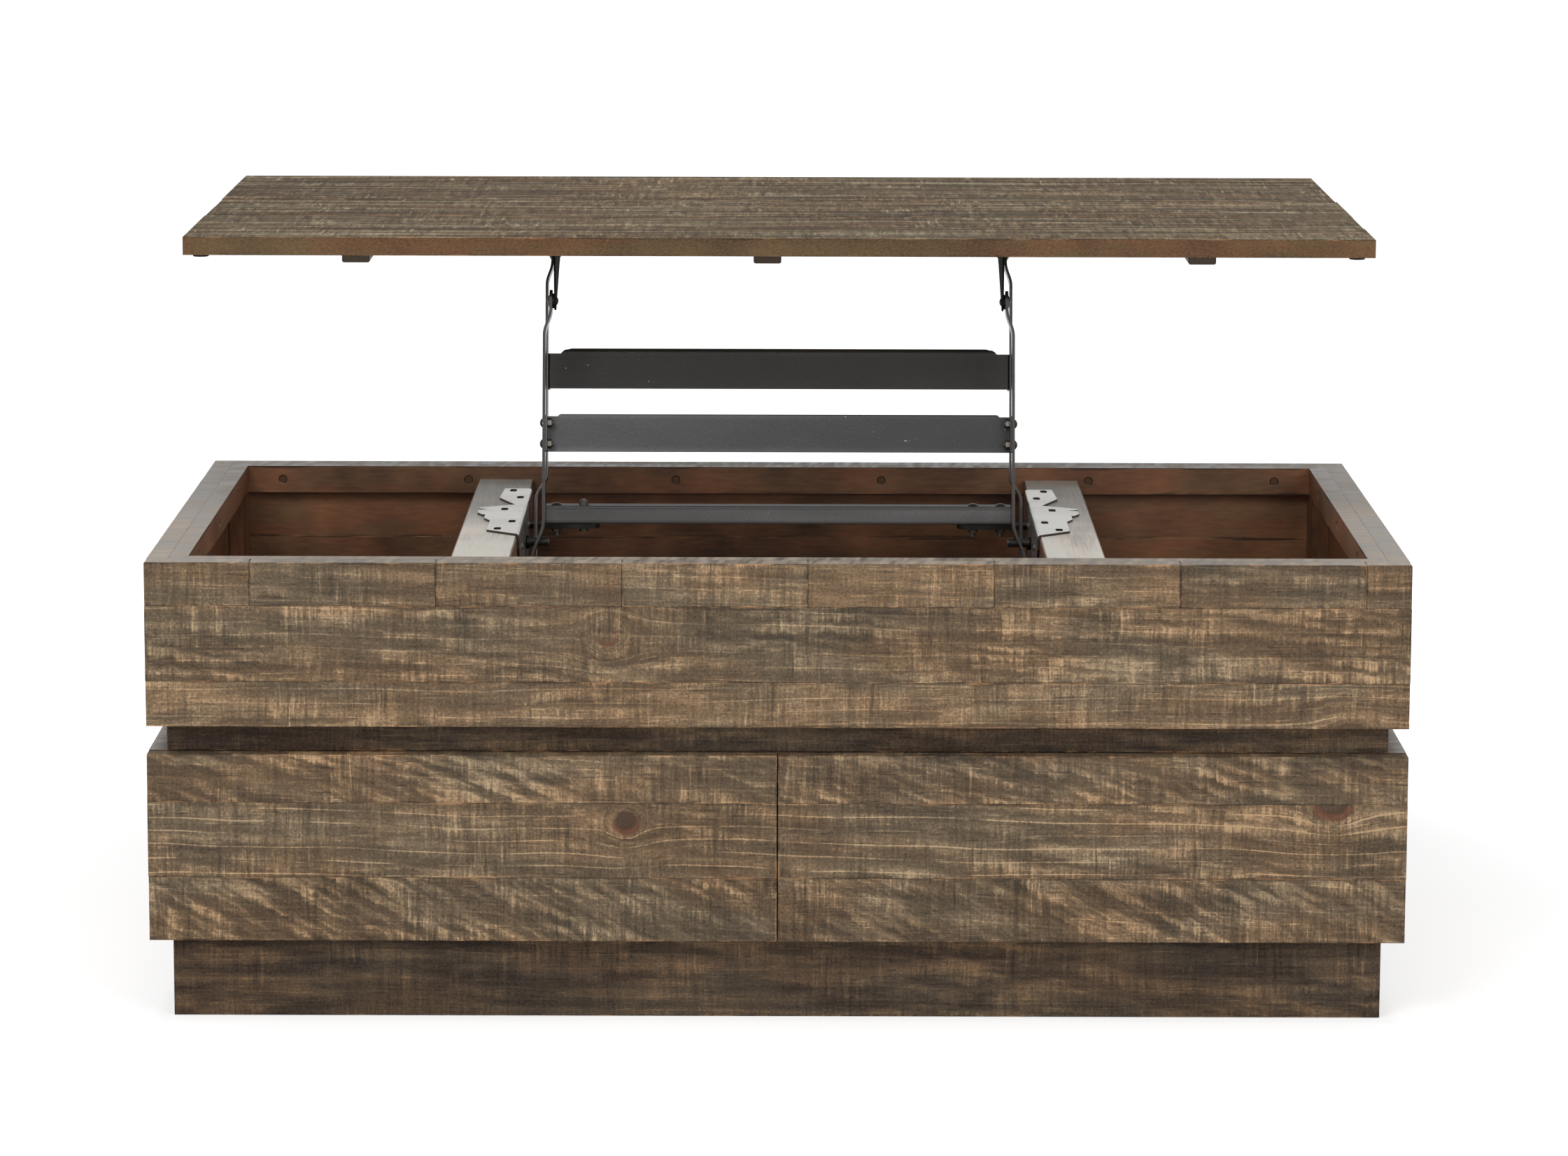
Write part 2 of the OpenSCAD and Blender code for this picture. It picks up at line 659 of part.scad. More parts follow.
// A pressed crossbar: a face with end tabs, and a lip rolled back from its top edge.
// The face lies at w; the tabs run towards tab_dir, and the lip always runs back. The lip's ends
// rise in steps, given as [distance inwards, height] from the foot of an end.
module crossbar(s_mid, half, w, tab_dir, lip_r, lip_w, lip_in, lip_end) {
    s0 = s_mid - bar_h / 2;
    s1 = s_mid + bar_h / 2;
    tab_l = 20.5;
    difference() {
        translate([0, 0, s0]) linear_extrude(bar_h) difference() {
            translate([0, w + tab_dir * tab_l / 2]) mirror([0, tab_dir < 0 ? 1 : 0, 0])
                eased_plan(-half, half, -tab_l / 2, tab_l / 2, 3.5);
            translate([0, w + tab_dir * (tab_l / 2 + bar_t)]) mirror([0, tab_dir < 0 ? 1 : 0, 0])
                eased_plan(-half + bar_t, half - bar_t, -tab_l / 2, tab_l / 2, 1.5);
        }
        for (s = pair_at(s_mid)) rod_x(-half - 1, half + 1, bolt_r, 0, s);
    }
    // The lip starts on the face's front side and rolls back over its top edge
    y_face = tab_dir < 0 ? w - bar_t : w;
    lip_x = half - lip_in;
    last = len(lip_end) - 1;
    intersection() {
        plate_yz(-lip_x - 1, lip_x + 1) translate([y_face + lip_r, s1]) {
            intersection() {
                difference() {
                    circle(lip_r);
                    circle(lip_r - bar_t);
                }
                translate([-lip_r, 0]) square(lip_r);
            }
            translate([0, lip_r - bar_t]) square([lip_w - lip_r, bar_t]);
        }
        plate_xz(y_face - 1, y_face + lip_w + 1)
            polygon(concat([for (p = lip_end) [lip_x - p[0], s1 + p[1]]],
                           [for (i = [last:-1:0]) [lip_end[i][0] - lip_x, s1 + lip_end[i][1]]]));
    }
}

module front_crossbar() color(black_steel) arm_frame(pivot_a)
    crossbar(front_bar_s, front_arm_x - arm_t / 2, 10.5, -1, 2.5, 14, 13,
             [[0, -1], [0, 0], [1.2, 1.7], [3, 2.3], [5, 3.5]]);

module rear_crossbar() color(black_steel) arm_frame(pivot_b)
    crossbar(rear_bar_s, rear_arm_x - arm_t / 2, -10.5, 1, 6, 16, 14,
             [[0, -1], [0, 0], [2, 2.4], [4.5, 4.2], [8.5, 4.8], [15.2, 7]]);

module crossbar_bolts() color(black_steel) arm_frame(pivot_a) both_sides()
    for (s = pair_at(front_bar_s)) {
        out = front_arm_x + arm_t / 2;
        translate([out, 0, s]) dome_x(head_r, dome_h);
        rod_x(out - arm_t - bar_t - nut_h - 1.5, out, bolt_r, 0, s);
    }

module crossbar_nuts() color(zinc) arm_frame(pivot_a) both_sides()
    for (s = pair_at(front_bar_s))
        translate([front_arm_x - arm_t / 2 - bar_t - nut_h, 0, s]) rotate([0, 90, 0]) hex_nut();

module crossbar_rivets() color(black_steel) arm_frame(pivot_b) both_sides()
    for (s = pair_at(rear_bar_s)) {
        out = rear_arm_x + arm_t / 2;
        translate([out, 0, s]) dome_x(head_r, dome_h);
        rod_x(out - arm_t - bar_t, out, bolt_r, 0, s);
        translate([out - arm_t - bar_t, 0, s]) mirror([1, 0, 0]) dome_x(head_r - 1, 1.5);
    }

// ---- Lid ----

module lid_top() color(lid_wood) translate([0, lid_y, lid_z])
    for (i = [0:len(lid_planks) - 1]) {
        y0 = sum_to(lid_planks, i);
        board([-half_w + lid_plank_left[i], y0, 0],
              [half_w - lid_plank_right[i], y0 + lid_planks[i], lid_t - lid_plank_low[i]]);
    }

// Steel channels across the planks, open side up against the lid
module lid_channels() color(black_steel)
    for (x = channel_places)
        plate_xz(lid_y + channel_margin, lid_y + case_d - channel_margin)
            translate([x, lid_z - channel_h / 2]) difference() {
                rounded_plan(channel_w, channel_h, 2.5);
                translate([0, channel_t])
                    square([channel_w - 2 * channel_t, channel_h], center = true);
                translate([-channel_w, channel_h / 2 - 2.5]) square([2 * channel_w, 5]);
            }

module channel_screws() color(zinc) {
    pitch = (case_d - 2 * channel_margin - 60) / (channel_screw_count - 1);
    for (k = [0:2], i = [0:channel_screw_count - 1])
        translate([channel_places[k] + channel_screw_shift[k],
                   lid_y + channel_margin + 30 + i * pitch, lid_z - channel_h])
            rotate([0, 90, 0]) dome_x(wood_head_r, wood_head_h);
}

// Lid bracket on the +X side: a lip screwed to the lid and a flange with both pivots
module lid_bracket_right() color(black_steel) {
    y0 = lid_y + lid_bracket_front;
    y1 = lid_y + lid_bracket_rear;
    plate_yz(lid_flange_x, lid_flange_x + lid_plate_t) difference() {
        union() {
            polygon([[y0, lid_z], tangent([y0, lid_z - 8], pivot_c, lid_bracket_eye_r, -1),
                     pivot_c, tangent([y1, lid_z - 12], pivot_c, lid_bracket_eye_r, 1),
                     [y1, lid_z - 12], [y1, lid_z]]);
            for (p = [pivot_c, pivot_e]) translate(p) circle(lid_bracket_eye_r);
        }
        translate([y0, lid_z]) square([y1 - y0, 30]);
        for (p = [pivot_c, pivot_e]) translate(p) circle(pin_r);
    }
    difference() {
        board([lid_flange_x - lid_bracket_lip, y0, lid_z - lid_plate_t],
              [lid_flange_x, y1, lid_z]);
        for (y = lid_screw_y)
            translate([lid_flange_x - lid_bracket_lip / 2, lid_y + y, lid_z - lid_plate_t - 1])
                cylinder(r = wood_screw_r, h = lid_plate_t + 2);
    }
}

module lid_bracket_left() mirror([1, 0, 0]) lid_bracket_right();

module lid_bracket_screws() color(zinc) both_sides() for (y = lid_screw_y)
    translate([lid_flange_x - lid_bracket_lip / 2, lid_y + y, lid_z - lid_plate_t]) {
        rotate([0, 90, 0]) dome_x(wood_head_r, wood_head_h);
        cylinder(r = wood_screw_r, h = lid_plate_t);
    }

module lid_pivot_pins() color(zinc) both_sides() {
    plate = [lid_flange_x, lid_flange_x + lid_plate_t];
    for (pivot = [[pivot_c, front_arm_top_x], [pivot_e, rear_arm_top_x]])
        translate([0, pivot[0][0], pivot[0][1]])
            shoulder_rivet(plate, [pivot[1] - arm_t / 2, pivot[1] + arm_t / 2],
                           pin_r + 1, 8, washer_r);
}

module lid_bumpers() color(rubber) both_sides()
    for (y = [lid_y + bumper_in, lid_y + case_d - bumper_in])
        translate([half_w - bumper_in, y, lid_z - bumper_h]) cylinder(r = bumper_r, h = bumper_h);

// ---- Drawers ----

module drawer_front_right() color(face_wood)
    translate([0, y_front, 0])
        plank_wall(front_gap / 2 - 0.4, half_w - 0.1, front_t, recess_z - 0.8, front_planks, 1);

module drawer_front_left() mirror([1, 0, 0]) drawer_front_right();

module drawer_walls_right() color(drawer_wood) {
    x0 = bay_mid - drawer_half;
    x1 = bay_mid + drawer_half;
    y1 = drawer_y + drawer_len;
    t = drawer_wall_t;
    difference() {
        union() {
            for (x = [x0, x1 - t]) board([x, drawer_y, drawer_z], [x + t, y1, drawer_z + drawer_h]);
            for (y = [drawer_y, y1 - t])
                board([x0 + t + 0.1, y, drawer_z], [x1 - t - 0.1, y + t, drawer_z + drawer_h]);
        }
        board([x0 + t - groove_d, drawer_y + t - groove_d, drawer_z + bottom_up],
              [x1 - t + groove_d, y1 - t + groove_d, drawer_z + bottom_up + drawer_bottom_t]);
    }
}

module drawer_walls_left() mirror([1, 0, 0]) drawer_walls_right();

module drawer_bottom_right() color(drawer_wood) {
    edge = drawer_wall_t - groove_d + 0.5;
    board([bay_mid - drawer_half + edge, drawer_y + edge, drawer_z + bottom_up + 0.1],
          [bay_mid + drawer_half - edge, drawer_y + drawer_len - edge,
           drawer_z + bottom_up + drawer_bottom_t - 0.1]);
}

module drawer_bottom_left() mirror([1, 0, 0]) drawer_bottom_right();

// One member of a telescopic slide: a channel whose back stands at x and whose lips run to +X
module slide_member(x, depth, h) {
    translate([x, slide_y, slide_z - h / 2]) cube([slide_sheet, slide_len, h]);
    for (z = [slide_z - h / 2, slide_z + h / 2 - slide_sheet])
        translate([x, slide_y, z]) cube([depth, slide_len, slide_sheet]);
}

// Children are drawn for a slide on the plane x = 0 that faces +X, at both walls of a bay
module at_bay_walls() {
    translate([bay_x0, 0, 0]) children();
    translate([lower_x, 0, 0]) mirror([1, 0, 0]) children();
}

module slide_outer() color(zinc) both_sides() at_bay_walls() slide_member(0, slide_lip, slide_h);

module slide_middle_right() color(zinc) at_bay_walls() slide_member(slide_step, slide_lip, middle_h);

module slide_middle_left() mirror([1, 0, 0]) slide_middle_right();

module slide_inner_right() color(zinc) at_bay_walls()
    translate([slide_w, 0, 0]) mirror([1, 0, 0]) slide_member(0, slide_lip, inner_h);

module slide_inner_left() mirror([1, 0, 0]) slide_inner_right();

plinth_front();
plinth_back();
plinth_sides();
plinth_cross_rail();
lower_bottom();
lower_side_left();
lower_side_right();
lower_back();
lower_top();
drawer_divider();
recess_boards();
storage_floor();
upper_front();
upper_back();
upper_side_left();
upper_side_right();
rim_liner_front();
rim_liner_back();
rim_liner_sides();
corner_battens();
lift_rail_left();
lift_rail_right();
liner_screws();
base_bracket_left();
base_bracket_right();
bracket_screws();
base_bar();
base_bar_bolts();
base_bar_nuts();
base_pivot_pins();
front_arm_left();
front_arm_right();
front_crossbar();
crossbar_bolts();
crossbar_nuts();
stop_pins();
rear_arm_left();
rear_arm_right();
rear_crossbar();
crossbar_rivets();
lid_top();
lid_channels();
channel_screws();
lid_bracket_left();
lid_bracket_right();
lid_bracket_screws();
lid_pivot_pins();
lid_bumpers();
drawer_front_left();
drawer_walls_left();
drawer_bottom_left();
slide_inner_left();
drawer_front_right();
drawer_walls_right();
drawer_bottom_right();
slide_inner_right();
slide_middle_left();
slide_middle_right();
slide_outer();
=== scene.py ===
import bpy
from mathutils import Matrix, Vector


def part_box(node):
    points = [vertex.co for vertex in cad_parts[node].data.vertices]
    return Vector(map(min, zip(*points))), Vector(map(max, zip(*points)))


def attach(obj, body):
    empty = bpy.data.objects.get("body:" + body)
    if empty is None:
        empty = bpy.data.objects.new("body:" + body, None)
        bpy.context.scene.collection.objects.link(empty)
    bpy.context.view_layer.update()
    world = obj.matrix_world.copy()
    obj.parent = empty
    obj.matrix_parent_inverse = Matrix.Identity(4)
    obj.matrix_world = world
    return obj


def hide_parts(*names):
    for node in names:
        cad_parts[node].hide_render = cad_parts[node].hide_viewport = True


bl_info = {
    "name": "Lift top coffee table",
    "version": (1, 0, 0),
    "blender": (4, 5, 0),
    "location": "3D View > Sidebar > Coffee Table",
    "description": "Dresses a lift top coffee table of sawn boards with its steel lift and drawers",
    "category": "Object",
}

import math

import bmesh
import bpy
from bpy.props import FloatProperty, FloatVectorProperty, PointerProperty
from mathutils import Vector, noise

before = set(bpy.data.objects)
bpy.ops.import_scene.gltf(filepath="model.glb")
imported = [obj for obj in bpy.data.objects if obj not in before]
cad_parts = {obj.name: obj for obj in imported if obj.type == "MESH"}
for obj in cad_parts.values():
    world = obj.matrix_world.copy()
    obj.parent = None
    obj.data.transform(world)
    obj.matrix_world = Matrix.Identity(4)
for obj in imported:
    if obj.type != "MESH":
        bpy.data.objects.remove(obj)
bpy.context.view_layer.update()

AXES = {"x": 0, "y": 1, "z": 2}
# The sides of a board: which axis they face along, and which way
LEFT, RIGHT, FRONT, BACK, UNDER, TOP = ((axis, way) for axis in range(3) for way in (-1, 1))

# Heights of the boards of each wall from the top down; the last board takes what is left
UPPER_ROWS = (0.044, 0.077, 1.0)
BACK_ROWS = (0.082, 0.058, 1.0)
LOWER_ROWS = (0.050, 0.077, 1.0)
DRAWER_ROWS = (0.049, 0.077, 1.0)
# How far each of those boards stands back, and how far it stops short
ROW_SET_BACK = (0.0, 0.0005, 0.0002)
ROW_SHORT = (0.0002, 0.0, 0.0003)
# Joints between the short boards along the top of the upper box's front
JOINTS = 7
FIRST_JOINT = -0.5295
JOINT_PITCH = 0.1865
JOINT_EASE = 0.0012
# The lid's boards from the front: their widths, how far they stop short, how low they lie
LID_BOARDS = (0.118, 0.117, 0.092, 0.093, 0.145, 1.0)
LID_SHORT_LEFT = (0.0004, 0.0, 0.0012, 0.0012, 0.0004, 0.0)
LID_SHORT_RIGHT = (0.0, 0.0007, 0.0004, 0.0, 0.0024, 0.0020)
LID_LOW = (0.0, 0.0003, 0.0, 0.0004, 0.0001, 0.0003)
# The closed ends of the channels under the lid, and how far they stand inside the channels
END_PLATE = 0.003
END_INSET = 0.001
END_BACK = 0.0004
END_DROP = 0.0002
# A base bracket's tongue is under this height and this near to the middle of the table, and its
# hanging side is nearer than the last distance
TONGUE_TOP = 0.4275
TONGUE_REACH = 0.2712
SIDE_REACH = 0.2745
# An edge that turns by more degrees than SHARP is eased, and faces that turn by fewer than FLAT
# are joined into one. Points that are nearer to each other than a seam are joined too
SHARP = 38.0
FLAT = 1.5
SEAM = 0.000002
STEEL_SEAM = 0.00012

# How far under the table the studio's floor lies
FLOOR_DROP = 0.0004
# Each lamp's name, its place, the place it looks at, its width and its power
LAMPS = (
    ("key", (-1.6, -3.4, 2.9), (0.0, 0.0, 0.35), 1.8, 50.0),
    ("fill", (2.3, -3.6, 1.7), (0.0, 0.0, 0.35), 2.2, 36.0),
    ("top", (0.0, 0.2, 3.6), (0.0, 0.1, 0.4), 2.4, 42.0),
)
# The camera's place and turn, in metres and radians, and its lens and sensor, in millimetres
CAMERA_PLACE = (0.0024, -5.811, 1.363)
CAMERA_TURN = (math.pi / 2 - 0.1648, -0.0027, -0.0002)
CAMERA_LENS = 126.93
CAMERA_SENSOR = 36.0


def linear(r, g, b):
    """A colour from its 0 to 255 screen values."""
    return tuple(((c / 255 + 0.055) / 1.055) ** 2.4 for c in (r, g, b))


def size(name, description, default):
    return FloatProperty(
        name=name, description=description, default=default, min=0.0, max=1.0,
        precision=5, unit="LENGTH",
    )


def colour(name, description, *rgb):
    return FloatVectorProperty(
        name=name, description=description, default=linear(*rgb), min=0.0, max=1.0,
        size=3, subtype="COLOR",
    )


class TableSizes(bpy.types.PropertyGroup):
    """Sizes that shape the boards and the steel."""

    board_edge: size("Board edge", "How far the long edges of the boards are eased", 0.0003)
    board_wear: size("Edge wear", "How much deeper the knocks along a board's edge go", 0.0005)
    board_step: size("Edge step", "How often along its length a board's edge changes", 0.007)
    steel_edge: size("Steel edge", "How far the edges of the pressed steel are eased", 0.00035)
    floor_reach: FloatProperty(
        name="Floor reach", description="Half the width of the studio floor",
        default=30.0, min=1.0, max=100.0, unit="LENGTH",
    )


class TableColours(bpy.types.PropertyGroup):
    """Colours of the boards, the steel and the studio."""

    face_dark: colour("Face dark", "Dark parts of the sawn faces", 76, 65, 54)
    face_mid: colour("Face", "The sawn faces", 116, 98, 78)
    face_light: colour("Face light", "Light parts of the sawn faces", 205, 174, 138)
    heartwood: colour("Knots", "Hearts of the knots", 80, 62, 50)
    knot_rim: colour("Knot rim", "Reddish wood round a knot's heart", 122, 76, 56)
    rubbed: colour("Rubbed edge", "Bare wood where a board's edge is rubbed", 190, 138, 94)
    lid_dark: colour("Lid dark", "Dark parts of the lid's top", 62, 52, 42)
    lid_mid: colour("Lid", "The lid's top", 94, 78, 58)
    lid_light: colour("Lid light", "Light parts of the lid's top", 156, 140, 108)
    lid_edge: colour("Lid edge", "The sanded front edge of the lid", 108, 82, 58)
    base_dark: colour("Base dark", "Dark parts of the plinth and recess", 50, 41, 35)
    base_mid: colour("Base", "The plinth and recess", 84, 70, 57)
    base_light: colour("Base light", "Light parts of the plinth and recess", 140, 114, 86)
    end_grain: colour("End grain", "Sawn ends of the boards", 92, 77, 61)
    # The top edges' own greyer wood, lightened further as a painted reflection of the white
    # surroundings
    rim: colour("Rim", "Top edges of the upper box", 131, 119, 106)
    inner: colour("Inside", "Stained boards inside the box", 114, 77, 50)
    # The rails' tops: a near-white grey that stands for the sheen of their dark stain seen at a
    # grazing angle, a painted reflection
    rail: colour("Rail", "The two rails that carry the lift", 202, 196, 187)
    drawer_box: colour("Drawer box", "Plain boards of the drawer boxes", 176, 148, 112)
    black: colour("Black paint", "Paint on the arms and the rear bar", 32, 29, 26)
    grey: colour("Grey paint", "Paint on the front bar and the base bar", 66, 66, 66)
    # The channels' dark brown paint is lightened here as painted light, for their shaded place
    # under the lid
    channel: colour("Channels", "Paint on the channels under the lid", 112, 99, 84)
    plate: colour("Bare plate", "Bare steel of the base plates", 236, 235, 231)
    burnt: colour("Burnt edge", "Cut edges of the base plates", 58, 47, 40)
    zinc: colour("Zinc", "Plated slides and pins", 158, 158, 154)
    old_zinc: colour("Old zinc", "Plated bolts and nuts", 118, 114, 107)
    brass: colour("Brass", "Screws of the battens", 88, 66, 46)
    rubber: colour("Rubber", "Bumpers under the lid", 34, 33, 32)


class Graph:
    """Adds nodes to one node tree and joins them."""

    def __init__(self, tree):
        self.tree = tree

    def node(self, kind, inputs=None, **settings):
        made = self.tree.nodes.new(kind)
        for key, value in settings.items():
            setattr(made, key, value)
        for key, value in (inputs or {}).items():
            self.feed(made.inputs[key], value)
        return made

    def feed(self, socket, value):
        if isinstance(value, bpy.types.NodeSocket):
            self.tree.links.new(value, socket)
        elif socket.type == "RGBA" and len(value) == 3:
            socket.default_value = (*value, 1.0)
        else:
            socket.default_value = value

    def math(self, operation, a, b=0.0, c=0.0):
        return self.node("ShaderNodeMath", {0: a, 1: b, 2: c}, operation=operation).outputs[0]

    def sum(self, *terms):
        """Adds up (value, weight) pairs, plain values and numbers."""
        total = 0.0
        for term in terms:
            if isinstance(term, tuple):
                total = self.math("MULTIPLY_ADD", term[0], term[1], total)
            else:
                total = self.math("ADD", total, term)
        return total

    def product(self, first, *others):
        for other in others:
            first = self.math("MULTIPLY", first, other)
        return first

    def less(self, value, by=0.5):
        """A value less another, or less a half, which centres what runs from 0 to 1."""
        return self.math("SUBTRACT", value, by)

    def either(self, a, b):
        """The greater of two values."""
        return self.math("MAXIMUM", a, b)

    def vector(self, operation, a, b):
        return self.node("ShaderNodeVectorMath", {0: a, 1: b}, operation=operation).outputs

    def scaled(self, vector, *factors):
        """A place stretched by its own factor along each axis."""
        return self.vector("MULTIPLY", vector, factors)[0]

    def joined(self, x, y, z):
        return self.node("ShaderNodeCombineXYZ", {0: x, 1: y, 2: z}).outputs[0]

    def split(self, vector):
        return self.node("ShaderNodeSeparateXYZ", {0: vector}).outputs

    def length(self, vector):
        return self.node("ShaderNodeVectorMath", {0: vector}, operation="LENGTH").outputs["Value"]

    def noise(self, vector, scale=1.0, detail=2.0, roughness=0.5):
        return self.node("ShaderNodeTexNoise", {
            "Vector": vector, "Scale": scale, "Detail": detail, "Roughness": roughness,
        }).outputs[0]

    def smooth(self, value, low, high, start=0.0, end=1.0):
        """A soft step from start to end while a value goes from low to high."""
        return self.node("ShaderNodeMapRange", {
            "Value": value, "From Min": low, "From Max": high, "To Min": start, "To Max": end,
        }, interpolation_type="SMOOTHSTEP").outputs[0]

    def mix(self, factor, a, b, blend="MIX"):
        return self.node(
            "ShaderNodeMix", {0: factor, 6: a, 7: b}, data_type="RGBA", blend_type=blend
        ).outputs[2]

    def ramp(self, value, *stops):
        """A colour from the (position, colour) stops that a value lies between."""
        made = self.node("ShaderNodeValToRGB", {0: value})
        points = made.color_ramp.elements
        while len(points) < len(stops):
            points.new(0.5)
        for point, (position, shade) in zip(points, stops):
            point.position = position
            point.color = (*shade, 1.0)
        return made.outputs[0]

    def attribute(self, name, output="Vector"):
        return self.node("ShaderNodeAttribute", attribute_name=name).outputs[output]

    def place(self):
        return self.node("ShaderNodeTexCoord").outputs["Object"]

    def use(self, effect, **inputs):
        """The outputs of a shader effect that is given these inputs."""
        made = self.node("ShaderNodeGroup", node_tree=effect)
        for key, value in inputs.items():
            self.feed(made.inputs[key], value)
        return made.outputs

    def bump(self, height, distance):
        return self.node("ShaderNodeBump", {"Height": height, "Distance": distance}).outputs[0]


def effect(name, inputs, fill):
    """The shader effect of that name, filled in the first time that it is asked for. An input
    with no value of its own is a place, and all that fill gives back comes out."""
    tree = bpy.data.node_groups.get(name)
    if tree is None:
        tree = bpy.data.node_groups.new(name, "ShaderNodeTree")
        for label, value in inputs.items():
            kind = "NodeSocketVector" if value is None else "NodeSocketFloat"
            socket = tree.interface.new_socket(name=label, in_out="INPUT", socket_type=kind)
            if value is not None:
                socket.default_value = value
        graph = Graph(tree)
        given = tree.nodes.new("NodeGroupInput").outputs
        made = fill(graph, *(given[label] for label in inputs))
        for label in made:
            tree.interface.new_socket(name=label, in_out="OUTPUT", socket_type="NodeSocketFloat")
        result = tree.nodes.new("NodeGroupOutput").inputs
        for label, value in made.items():
            graph.feed(result[label], value)
    return tree


def board_edge():
    """How far a point is from the nearest edge of its board. Of its three distances from the
    board's faces, that is the middle one."""

    def fill(g, low, high):
        x, y, z = g.split(g.vector("MINIMUM", low, high)[0])[0:3]
        least, most = g.math("MINIMUM", x, y), g.either(x, y)
        return {"Distance": g.either(least, g.math("MINIMUM", most, z))}

    return effect("Board edge", {"Low": None, "High": None}, fill)


def saw_marks():
    """Marks that the saw blade leaves across a board."""

    def fill(g, grain, pitch, reach):
        u, v, w = g.split(grain)[0:3]
        drift = g.product(g.noise(g.scaled(grain, 9.0, 25.0, 25.0)), 0.004)
        u = g.math("ADD", u, drift)
        fine_u, broad_u = g.product(u, pitch), g.product(u, 85.0)
        run = g.product(g.math("ADD", v, w), reach)
        fine = g.noise(g.joined(fine_u, run, 3.1), detail=4.0, roughness=0.8)
        broad = g.noise(g.joined(broad_u, g.product(run, 1.6), 7.7))
        thin = g.noise(g.joined(g.product(fine_u, 1.2), g.product(run, 1.1), 1.9), detail=0.0)
        patch = g.noise(g.scaled(grain, 22.0, 17.0, 17.0), detail=1.0)
        place = g.smooth(patch, 0.47, 0.62)
        marks = g.sum((g.smooth(fine, 0.25, 0.75), 0.75), (g.smooth(broad, 0.3, 0.7), 0.25))
        strong = g.smooth(patch, 0.3, 0.65, 0.5, 1.4)
        return {
            "Marks": g.math("MULTIPLY_ADD", g.less(marks), strong, 0.5),
            "Cuts": g.product(g.smooth(thin, 0.68, 0.80), place),
            "Slits": g.product(g.smooth(thin, 0.33, 0.23), place),
            "Shift": g.sum((broad, 0.5), (fine, 0.5), -0.5),
        }

    return effect("Saw marks", {"Vector": None, "Pitch": 330.0, "Reach": 14.0}, fill)


def figure():
    """Soft pale and dark patches that lie aslant on a board and break up along its saw marks."""

    def fill(g, grain, shift, slope, width):
        u, v, w = g.split(grain)[0:3]
        broken = g.math("MULTIPLY_ADD", shift, 0.015, v)
        leant = g.less(broken, g.product(u, slope))
        steep = g.smooth(g.math("ABSOLUTE", slope), 0.08, 0.35)
        length = g.math("MULTIPLY_ADD", steep, -0.026, 0.074)
        place = g.joined(
            g.math("DIVIDE", u, length), g.math("DIVIDE", leant, width), g.product(w, 30.0)
        )
        return {"Patches": g.smooth(g.noise(place), 0.36, 0.66)}

    return effect("Figure", {"Vector": None, "Shift": 0.0, "Slope": 0.0, "Width": 0.011}, fill)


def growth():
    """Growth lines that run along a board, the bands between them, and short pores."""

    def fill(g, grain, spacing, wander, slope):
        u, v, w = g.split(grain)[0:3]
        drift = g.noise(g.scaled(grain, 3.5, 9.0, 9.0))
        leant = g.less(v, g.product(u, slope))
        line = g.sum((g.math("DIVIDE", leant, spacing), 1.0), (drift, wander))
        near = g.math("ABSOLUTE", g.less(g.math("FRACT", line)))
        dash = g.noise(g.joined(g.product(u, 14.0), line, w))
        thin = g.product(g.smooth(near, 0.080, 0.02), g.smooth(dash, 0.34, 0.56))
        band = g.noise(g.joined(g.product(u, 2.5), line, w), detail=3.0, roughness=0.6)
        pore = g.noise(g.scaled(grain, 34.0, 620.0, 620.0), detail=1.0)
        return {
            "Lines": thin, "Bands": band,
            "Pores": g.sum((g.smooth(pore, 0.62, 0.76), 1.0), (g.smooth(pore, 0.38, 0.24), -1.0)),
        }

    return effect("Growth", {"Vector": None, "Spacing": 0.014, "Wander": 1.5, "Slope": 0.0}, fill)


def knot():
    """One knot: its dark heart, its rings and how far it pushes the grain aside."""

    def fill(g, grain, centre, radius, depth):
        away = g.vector("SUBTRACT", grain, centre)[0]
        rough = g.noise(g.scaled(away, 90.0, 90.0, 90.0))
        reach = g.vector("DIVIDE", away, radius)[0]
        far = g.sum((g.length(reach), 1.0), (rough, 0.5), -0.25)
        side = g.split(away)[1]
        below = g.smooth(g.split(reach)[1], 0.4, -0.8)
        size = g.smooth(depth, 0.2, 0.5, 0.45, 1.0)
        core = g.math("DIVIDE", far, size)
        rings = g.math("SINE", g.product(far, 12.0))
        rings = g.product(g.smooth(rings, -0.8, 0.9, -0.6, 1.0), g.smooth(far, 2.6, 0.9),
                          g.smooth(rough, 0.35, 0.6))
        wide = g.either(g.math("POWER", far, 1.6), 1.0)
        return {
            "Heart": g.product(g.smooth(core, 1.15, 0.8), depth),
            "Rim": g.product(g.smooth(core, 0.6, 1.0), g.smooth(core, 1.35, 1.05), below),
            "Rings": rings,
            "Push": g.product(g.math("DIVIDE", side, wide), g.smooth(far, 7.0, 1.5), 1.3),
        }

    return effect("Knot", {"Vector": None, "Centre": None, "Radius": None, "Depth": 0.8}, fill)


def edge_wear():
    """Rubbed and dirty stretches along the edges of a board."""

    def fill(g, grain, far):
        patch = g.noise(g.scaled(grain, 28.0, 28.0, 28.0), detail=4.0, roughness=0.6)
        worn = g.smooth(far, g.smooth(patch, 0.48, 0.72, 0.0002, 0.0028), 0.0)
        soot = g.noise(g.scaled(grain, 11.0, 60.0, 60.0), detail=3.0)
        dirt = g.smooth(far, g.smooth(soot, 0.45, 0.70, 0.0005, 0.0035), 0.0)
        return {"Worn": g.product(worn, g.smooth(patch, 0.46, 0.56)), "Dirt": dirt}

    return effect("Edge wear", {"Vector": None, "Distance": 0.01}, fill)


